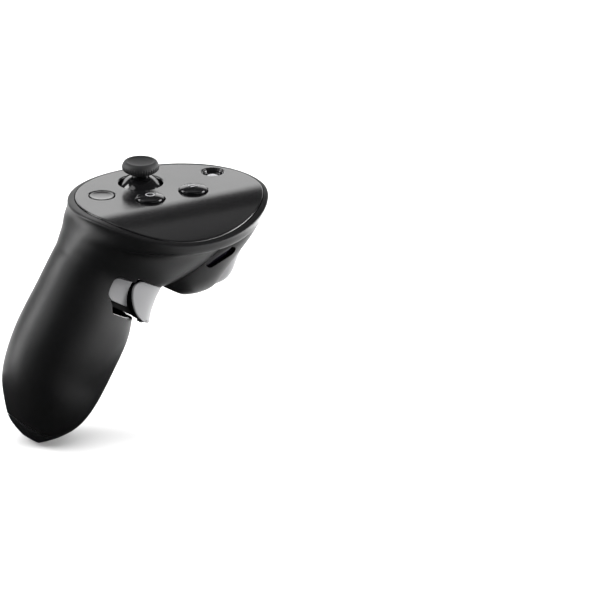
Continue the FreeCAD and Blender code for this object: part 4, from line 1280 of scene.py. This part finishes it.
def build_grip_trigger():
    face = paddle_surface(80, 160)
    paddle = panel("paddle_skin", face, 2.5, 0.6)
    # A near-black sheet over the paddle's round back side wall: painted shade on that wall.
    side_shade = panel("paddle_liner", sunk(face, 0.55)[4:, :14] - FORE * 0.06, 1.9, 0.1)
    place(side_shade, "matte", "grip_trigger", "frame")
    cheek = panel("cheek_skin", cheek_surface(60, 90), 1.6, 0.5)
    # The inner web in near-black with almost no gloss: painted shade in the pocket's recess.
    web = panel("grip_web", web_surface(40, 120), 1.4, 0.2)
    place(web, "matte", "grip_trigger", "frame")
    axes = (FORE, SIDE, UP_GRIP)
    hinge_fore = GRIP_HINGE @ FORE
    origin = FORE * hinge_fore + SIDE * GRIP_HINGE[1]
    barrel = [(1.06, CHEEK_LOW), (2.4, CHEEK_LOW, 0.2), (2.4, CHEEK_HIGH, 0.2), (1.06, CHEEK_HIGH)]
    barrel = turned_tube("barrel", barrel, origin, 48, axes)
    lever = join([paddle, cheek, barrel], "grip_lever")
    place(lever, "trigger", "grip_trigger", "trigger", "grip_trigger")
    paint_nodes("steel", "grip_pin", "grip_spring")
    paint_nodes("frame", "grip_bracket")


# ---------------------------------------------------------------- repeated things


class Tree(Layout):
    """A geometry node tree with named inputs, which ends in plain, painted geometry."""

    def __init__(self, name, **inputs):
        self.tree = bpy.data.node_groups.new(name, "GeometryNodeTree")
        self.names = {}
        for key, kind in {**inputs, "Finish": "Material"}.items():
            label = key.replace("_", " ")
            socket = self.tree.interface.new_socket(
                name=label, in_out="INPUT", socket_type=f"NodeSocket{kind}"
            )
            self.names[key] = socket.identifier
        self.tree.interface.new_socket(name="Geometry", in_out="OUTPUT", socket_type="NodeSocketGeometry")
        self.start = self.tree.nodes.new("NodeGroupInput")
        self.end = self.tree.nodes.new("NodeGroupOutput")

    def feed(self, node, **sockets):
        """Links the tree's own inputs to a node's sockets."""
        for source, target in sockets.items():
            self.link(self.start, source, node, target)

    def stamp(self, points, output):
        """Copies of the tree's master piece on points."""
        master = self.add("GeometryNodeObjectInfo")
        self.feed(master, Piece="Object")
        copies = self.add("GeometryNodeInstanceOnPoints")
        self.link(points, output, copies, "Points")
        self.link(master, "Geometry", copies, "Instance")
        return copies

    def close(self, source, output):
        plain = self.add("GeometryNodeRealizeInstances")
        self.link(source, output, plain, "Geometry")
        shaded = self.add("GeometryNodeSetMaterial")
        self.link(plain, "Geometry", shaded, "Geometry")
        self.link(self.start, "Finish", shaded, "Material")
        self.link(shaded, "Geometry", self.end, "Geometry")

    def build(self, name, finish, **values):
        """Plain mesh piece from the tree with the given input values."""
        piece = new_object(name, bpy.data.meshes.new(name))
        modifier = piece.modifiers.new("nodes", "NODES")
        modifier.node_group = self.tree
        for key, value in values.items():
            modifier[self.names[key]] = value
        modifier[self.names["Finish"]] = FINISHES[finish]
        bake_modifiers(piece)
        if not piece.data.polygons:
            raise RuntimeError(f"{name} came out empty")
        return piece


def row_tree():
    """Copies of a master piece in a straight row."""
    tree = Tree("row_of_pieces", Piece="Object", Count="Int", Start="Vector", Step="Vector")
    line = tree.add("GeometryNodeMeshLine", mode="OFFSET")
    tree.feed(line, Count="Count", Start="Start Location", Step="Offset")
    tree.close(tree.stamp(line, "Mesh"), "Instances")
    return tree


def ring_tree():
    """Copies of a master piece round an upright axis, each turned to face outwards."""
    tree = Tree("ring_of_pieces", Piece="Object", Count="Int")
    circle = tree.add("GeometryNodeMeshLine", mode="OFFSET")
    circle.inputs["Offset"].default_value = (0, 0, 0)
    tree.feed(circle, Count="Count")
    index = tree.add("GeometryNodeInputIndex")
    share = tree.add("ShaderNodeMath", operation="DIVIDE")
    tree.link(index, 0, share, 0)
    tree.link(tree.start, "Count", share, 1)
    turn = tree.add("ShaderNodeMath", operation="MULTIPLY")
    tree.link(share, 0, turn, 0)
    turn.inputs[1].default_value = math.tau
    angles = tree.add("ShaderNodeCombineXYZ")
    tree.link(turn, 0, angles, "Z")
    copies = tree.stamp(circle, "Mesh")
    tree.link(angles, "Vector", copies, "Rotation")
    tree.close(copies, "Instances")
    return tree


def coil_tree():
    """A wound spring: a helix with a round wire."""
    tree = Tree("wound_spring", Turns="Float", Radius="Float", Wire="Float", Length="Float")
    helix = tree.add("GeometryNodeCurveSpiral")
    helix.inputs["Resolution"].default_value = 28
    tree.feed(helix, Turns="Rotations", Radius="Start Radius", Length="Height")
    tree.feed(helix, Radius="End Radius")
    profile = tree.add("GeometryNodeCurvePrimitiveCircle")
    profile.inputs["Resolution"].default_value = 12
    tree.feed(profile, Wire="Radius")
    wire = tree.add("GeometryNodeCurveToMesh")
    tree.link(helix, "Curve", wire, "Curve")
    tree.link(profile, "Curve", wire, "Profile Curve")
    wire.inputs["Fill Caps"].default_value = True
    tree.close(wire, "Mesh")
    return tree


def chips_tree():
    """Small parts of differing sizes on a grid, with a fixed seed."""
    tree = Tree(
        "parts_on_a_board", Length="Float", Width="Float", Rows="Int", Columns="Int",
        Smallest="Vector", Largest="Vector", Seed="Int",
    )
    grid = tree.add("GeometryNodeMeshGrid")
    tree.feed(grid, Length="Size X", Width="Size Y", Rows="Vertices X", Columns="Vertices Y")
    cube = tree.add("GeometryNodeMeshCube")
    cube.inputs["Size"].default_value = (1, 1, 1)
    scale = tree.add("FunctionNodeRandomValue", data_type="FLOAT_VECTOR")
    tree.feed(scale, Smallest="Min", Largest="Max", Seed="Seed")
    copies = tree.add("GeometryNodeInstanceOnPoints")
    tree.link(grid, "Mesh", copies, "Points")
    tree.link(cube, "Mesh", copies, "Instance")
    tree.link(scale, "Value", copies, "Scale")
    tree.close(copies, "Instances")
    return tree


def to_frame(piece, origin, axes):
    """Carries a mesh made about the origin into the row frame, along three axes."""
    matrix = Matrix([list(row) for row in np.array(axes).T]).to_4x4()
    matrix.translation = Vector(np.asarray(origin, dtype=float) * MM)
    piece.data.transform(matrix)
    face_outwards(piece)
    return piece


def build_screws():
    low, high = corners_mm("board_screws")
    thread = [(0, 0), (1.0, 0, 0.1), (1.68, 0.25, 0.2), (1.68, 1.1, 0.1), (0.9, 1.1)]
    for step in range(9):
        thread += [(0.72, 1.5 + step * 0.52), (0.9, 1.76 + step * 0.52)]
    thread += [(0.5, high[2] - low[2] - 0.1), (0, high[2] - low[2])]
    screw = turned("screw", thread, np.zeros(3), 32)
    for turn in (0, 1):
        along, across = ((1.1, 0.22), (0.22, 1.1))[turn]
        carve(screw, block("slot", (-along, -across, -1), (along, across, 0.6)))
    middle = (low[0] + high[0]) / 2
    start = Vector((middle + POSTS[0][0], POSTS[0][1], low[2])) * MM
    step = Vector((POSTS[1][0] - POSTS[0][0], 0, 0)) * MM
    screws = row_tree().build("plate_screws", "steel", Piece=screw, Count=3, Start=start, Step=step)
    remove(screw)
    face_outwards(screws)
    smooth(screws)
    tie(screws, "root", "steel", "board_screws")


def build_contacts():
    low, high = corners_mm("charge_contacts")
    radius = 1.1
    up = 9.0
    far = (high[0] - UP_GRIP[0] * (up + radius)) / FORE[0] + 0.6
    near = (low[0] - UP_GRIP[0] * (up - radius)) / FORE[0]
    pin = [(0, near), (radius, near, 0.1), (radius, far, 0.1), (0, far)]
    axes = (SIDE, UP_GRIP, FORE)
    pin = turned("pin", pin, np.zeros(3), 48, axes)
    start = Vector(UP_GRIP * up - SIDE * 5.0) * MM
    step = Vector(SIDE * 5.0) * MM
    pins = row_tree().build("charge_pins", "gold", Piece=pin, Count=3, Start=start, Step=step)
    remove(pin)
    face_outwards(pins)
    carve(pins, tube("skin", smooth_rows(body_rings(0.12), 260)), "INTERSECT")
    smooth(pins)
    tie(pins, "root", "gold", "charge_contacts")


def build_ridges():
    """Ridges round the side of the stick's cap."""
    size = sizes()
    path = [(6.35, 4.75), (6.78, 5.4), (6.93, 6.1), (6.92, 6.8), (6.7, 7.4)]
    path = smooth_rows(np.array([(x, 0, z) for x, z in path])[:, None, :], 10)[:, 0, :]
    depth = size.ridge_depth / MM
    rows = []
    tangent = np.gradient(path, axis=0)
    tangent /= np.linalg.norm(tangent, axis=1, keepdims=True)
    outward = np.stack([tangent[:, 2], np.zeros(len(path)), -tangent[:, 0]], axis=1)
    for number in range(len(path)):
        fade = math.sin(math.pi * number / (len(path) - 1)) ** 0.5
        circle = []
        for turn in full_turn(8):
            lift = outward[number] * math.cos(turn) * depth * fade
            wide = SIDE * math.sin(turn) * 0.24
            circle.append(path[number] - outward[number] * 0.12 + lift + wide)
        rows.append(circle)
    rib = tube("ridge", rows)
    piece = ring_tree().build("stick_ridges", "rubber", Piece=rib, Count=size.ridge_count)
    remove(rib)
    to_frame(piece, (PIVOT[0], PIVOT[1], FACE[2]), np.eye(3))
    piece.data.shade_smooth()
    tie(piece, "stick", "stick_rubber")


def build_springs():
    low, high = corners_mm("index_spring")
    wire = sizes().spring_wire / 2
    radius = (high[2] - low[2]) / 2 * MM - wire
    long = (high[1] - low[1]) * MM - 2 * wire
    coil = coil_tree().build("index_coil", "steel", Turns=4.0, Radius=radius, Wire=wire, Length=long)
    origin = np.array([INDEX_PIVOT[0], low[1] + wire / MM, INDEX_PIVOT[2]])
    to_frame(coil, origin, ((0, 0, 1.0), (1.0, 0, 0), (0, 1.0, 0)))
    coil.data.shade_smooth()
    tie(coil, "root", "steel", "index_spring")


def build_insides():
    paint_nodes("cell", "battery_cell")
    paint_nodes("frame", "inner_frame")
    paint_nodes("board", "main_board", "button_board")
    paint_nodes("steel", "haptic_motor", "index_haptic")
    paint_nodes("gold", "antenna_strip")
    paint_nodes("gloss", "plate_gasket")
    tree = chips_tree()
    low, high = corners_mm("button_board")
    chips = tree.build(
        "button_board_parts", "frame", Length=0.032, Width=0.005, Rows=9, Columns=3,
        Smallest=Vector((0.0008, 0.0006, 0.0006)), Largest=Vector((0.0024, 0.0016, 0.0012)), Seed=3,
    )
    to_frame(chips, ((low[0] + high[0]) / 2 + 3, -3.1, low[2] - 0.1), np.eye(3))
    tie(chips, "root", "board")
    cell_low, cell_high = corners_mm("main_board")
    middle = (cell_low + cell_high) / 2
    chips = tree.build(
        "main_board_parts", "frame", Length=0.016, Width=0.024, Rows=6, Columns=8,
        Smallest=Vector((0.0007, 0.0007, 0.0005)), Largest=Vector((0.0022, 0.0026, 0.0012)), Seed=8,
    )
    to_frame(chips, middle + FORE * 0.6, (SIDE, UP_GRIP, FORE))
    tie(chips, "root", "board")


# ---------------------------------------------------------------- stage


FRAME_ACROSS = 222.2
LENS = 1000.0
SENSOR = 36.0
VIEW_TURN = -30.0
VIEW_LIFT = 21.0
AIM_RIGHT = 48.07
AIM_DOWN = 39.11


def view_axes():
    turn, lift = math.radians(VIEW_TURN), math.radians(VIEW_LIFT)
    back = np.array([math.sin(turn) * math.cos(lift), -math.cos(turn) * math.cos(lift), math.sin(lift)])
    right = np.array([math.cos(turn), math.sin(turn), 0.0])
    return back, right, np.cross(back, right)


def add_light(name, place_at, target, width, height, power):
    light = bpy.data.lights.new(name, "AREA")
    light.shape = "RECTANGLE"
    light.size = width
    light.size_y = height
    light.energy = power
    lamp = new_object(name, light)
    lamp.location = place_at
    lamp.visible_camera = False
    lamp.rotation_mode = "QUATERNION"
    lamp.rotation_quaternion = (Vector(target) - Vector(place_at)).to_track_quat("-Z", "Y")
    return lamp


def add_sheet(name, corners, finish_name, low, high, specular):
    """A level sheet of the stage with a plain matte finish."""
    mesh = bpy.data.meshes.new(name)
    mesh.from_pydata(corners, [], [(0, 1, 2, 3)])
    sheet = new_object(name, mesh)
    finish = Nodes(finish_name)
    tone = finish.blend_colours(finish.noise(40.0), "Fac", low, high)
    finish.link(tone, "Result", finish.shader, "Base Color")
    finish.shader.inputs["Roughness"].default_value = 0.9
    finish.shader.inputs["Specular IOR Level"].default_value = specular
    mesh.materials.append(finish.material)
    return sheet


def add_card(name, middle, right, toward_lens):
    """A black card on the floor before the object, seen only in reflections."""
    corners = []
    for across, near in ((-3.0, -0.05), (0.03, -0.05), (0.6, 4.0), (-3.0, 4.0)):
        point = np.array(middle) + right * across + toward_lens * near
        corners.append((point[0], point[1], CAD_LOW.z - 0.0003))
    card = add_sheet(name, corners, "black_card", (0.001,) * 3, (0.002,) * 3, 0.0)
    card.visible_camera = False
    card.visible_diffuse = False
    card.visible_shadow = False


def build_stage():
    scene = bpy.context.scene
    level = CAD_LOW.z - 0.0004
    reach = 12.0
    corners = [(-reach, -reach, level), (reach, -reach, level), (reach, reach, level), (-reach, reach, level)]
    add_sheet("floor", corners, "pale_floor", (0.87,) * 3, (0.89,) * 3, 0.1)

    world = bpy.data.worlds.new("studio")
    world.use_nodes = True
    background = world.node_tree.nodes["Background"]
    background.inputs["Color"].default_value = (1, 1, 1, 1)
    background.inputs["Strength"].default_value = 0.05
    scene.world = world
    scene.view_settings.view_transform = "Standard"

    back, right, up = view_axes()
    centre = (np.array(CAD_LOW) + np.array(CAD_HIGH)) / 2
    top = Vector(centre + np.array([0, 0, 0.03]))
    far = np.array([-back[0], -back[1], 0.0]) / math.hypot(back[0], back[1])
    toward_lens = -far
    add_card("front_card", top, right, toward_lens)
    add_light("far_panel", centre + far * 1.3 + UP * 0.42, top, 2.4, 0.55, 10.0)
    add_light("sky_panel", centre + UP * 1.7 + far * 0.5, top, 1.5, 1.5, 3.5)
    add_light("left_panel", centre - right * 0.95 - back * 0.2 + UP * 0.3, top, 0.4, 1.1, 14.0)
    add_light("left_fill", centre - right * 0.8 + back * 0.35 + UP * 0.5, top, 0.5, 0.9, 3.5)
    add_light("right_panel", centre + right * 0.95 - back * 0.05 + UP * 0.05, top, 0.5, 0.9, 20.0)
    glow = np.array([centre[0], centre[1], CAD_LOW.z]) + right * 0.55 + far * 0.15
    add_light("table_glow", glow, Vector(glow + UP), 0.8, 0.9, 20.0)
    fill = add_light("floor_fill", centre + UP * 3.0, top, 6.0, 6.0, 270.0)
    fill.visible_glossy = False

    camera = bpy.data.cameras.new("camera")
    camera.lens = LENS
    camera.sensor_width = SENSOR
    target = (FACE + right * AIM_RIGHT - up * AIM_DOWN) * MM
    distance = LENS / SENSOR * FRAME_ACROSS * MM
    eye = new_object("camera", camera)
    eye.location = target + back * distance
    eye.rotation_mode = "QUATERNION"
    eye.rotation_quaternion = Vector(-back).to_track_quat("-Z", "Y")
    camera.clip_start = 0.01
    camera.clip_end = 60.0
    scene.camera = eye


# ---------------------------------------------------------------- operators and panel


class CONTROLLER_OT_finishes(bpy.types.Operator):
    """Makes the materials of every finish"""

    bl_idname = "controller.finishes"
    bl_label = "Finishes"

    def execute(self, context):
        make_finishes()
        return {"FINISHED"}


class CONTROLLER_OT_stage(bpy.types.Operator):
    """Adds the floor, the lights and the camera"""

    bl_idname = "controller.stage"
    bl_label = "Stage"

    def execute(self, context):
        build_stage()
        return {"FINISHED"}


class CONTROLLER_OT_shell(bpy.types.Operator):
    """Builds the handle and head shell, and the keel strip"""

    bl_idname = "controller.shell"
    bl_label = "Shell and keel"

    def execute(self, context):
        build_shell()
        return {"FINISHED"}


class CONTROLLER_OT_front_cover(bpy.types.Operator):
    """Builds the pod under the head and its side window"""

    bl_idname = "controller.front_cover"
    bl_label = "Front cover"

    def execute(self, context):
        build_front_cover()
        return {"FINISHED"}


class CONTROLLER_OT_face_plate(bpy.types.Operator):
    """Builds the plate with its holes and posts"""

    bl_idname = "controller.face_plate"
    bl_label = "Face plate"

    def execute(self, context):
        build_plate()
        return {"FINISHED"}


class CONTROLLER_OT_keys(bpy.types.Operator):
    """Builds the three round keys and their marks"""

    bl_idname = "controller.keys"
    bl_label = "Keys"

    def execute(self, context):
        build_keys()
        return {"FINISHED"}


class CONTROLLER_OT_sensor(bpy.types.Operator):
    """Builds the sensor's bezel and lens"""

    bl_idname = "controller.sensor"
    bl_label = "Sensor"

    def execute(self, context):
        build_sensor()
        return {"FINISHED"}


class CONTROLLER_OT_stick(bpy.types.Operator):
    """Builds the stick's cap, post and dome"""

    bl_idname = "controller.stick"
    bl_label = "Thumbstick"

    def execute(self, context):
        build_stick()
        return {"FINISHED"}


class CONTROLLER_OT_ridges(bpy.types.Operator):
    """Adds the ridges round the stick's cap"""

    bl_idname = "controller.ridges"
    bl_label = "Ridges"

    def execute(self, context):
        build_ridges()
        return {"FINISHED"}


class CONTROLLER_OT_index_trigger(bpy.types.Operator):
    """Builds the index trigger"""

    bl_idname = "controller.index_trigger"
    bl_label = "Index trigger"

    def execute(self, context):
        build_index_trigger()
        return {"FINISHED"}


class CONTROLLER_OT_grip_trigger(bpy.types.Operator):
    """Builds the grip trigger's paddle and cheek"""

    bl_idname = "controller.grip_trigger"
    bl_label = "Grip trigger"

    def execute(self, context):
        build_grip_trigger()
        return {"FINISHED"}


class CONTROLLER_OT_screws(bpy.types.Operator):
    """Adds the screws under the plate"""

    bl_idname = "controller.screws"
    bl_label = "Screws"

    def execute(self, context):
        build_screws()
        return {"FINISHED"}


class CONTROLLER_OT_contacts(bpy.types.Operator):
    """Adds the charging contacts in the keel"""

    bl_idname = "controller.contacts"
    bl_label = "Contacts"

    def execute(self, context):
        build_contacts()
        return {"FINISHED"}


class CONTROLLER_OT_springs(bpy.types.Operator):
    """Adds the index trigger's wound spring"""

    bl_idname = "controller.springs"
    bl_label = "Springs"

    def execute(self, context):
        build_springs()
        return {"FINISHED"}


class CONTROLLER_OT_insides(bpy.types.Operator):
    """Finishes the cell, boards and motors"""

    bl_idname = "controller.insides"
    bl_label = "Insides"

    def execute(self, context):
        build_insides()
        return {"FINISHED"}


OPERATORS = (
    CONTROLLER_OT_finishes,
    CONTROLLER_OT_stage,
    CONTROLLER_OT_shell,
    CONTROLLER_OT_front_cover,
    CONTROLLER_OT_face_plate,
    CONTROLLER_OT_keys,
    CONTROLLER_OT_sensor,
    CONTROLLER_OT_stick,
    CONTROLLER_OT_ridges,
    CONTROLLER_OT_index_trigger,
    CONTROLLER_OT_grip_trigger,
    CONTROLLER_OT_screws,
    CONTROLLER_OT_contacts,
    CONTROLLER_OT_springs,
    CONTROLLER_OT_insides,
)


class CONTROLLER_PT_panel(bpy.types.Panel):
    """Lists the sizes, the colours and the builders."""

    bl_idname = "CONTROLLER_PT_panel"
    bl_label = "Motion controller"
    bl_space_type = "VIEW_3D"
    bl_region_type = "UI"
    bl_category = "Controller"

    def draw(self, context):
        layout = self.layout
        for group in (context.scene.controller_sizes, context.scene.controller_colours):
            box = layout.box()
            for name in group.bl_rna.properties.keys():
                if name not in ("rna_type", "name"):
                    box.prop(group, name)
        for kind in OPERATORS:
            layout.operator(kind.bl_idname)


CLASSES = (ControllerSizes, ControllerColours, *OPERATORS, CONTROLLER_PT_panel)


def register():
    for kind in CLASSES:
        bpy.utils.register_class(kind)
    bpy.types.Scene.controller_sizes = PointerProperty(type=ControllerSizes)
    bpy.types.Scene.controller_colours = PointerProperty(type=ControllerColours)


def unregister():
    del bpy.types.Scene.controller_colours
    del bpy.types.Scene.controller_sizes
    for kind in reversed(CLASSES):
        bpy.utils.unregister_class(kind)


def main():
    register()
    for kind in OPERATORS:
        getattr(bpy.ops.controller, kind.bl_idname.split(".")[1])()


if __name__ == "__main__":
    main()
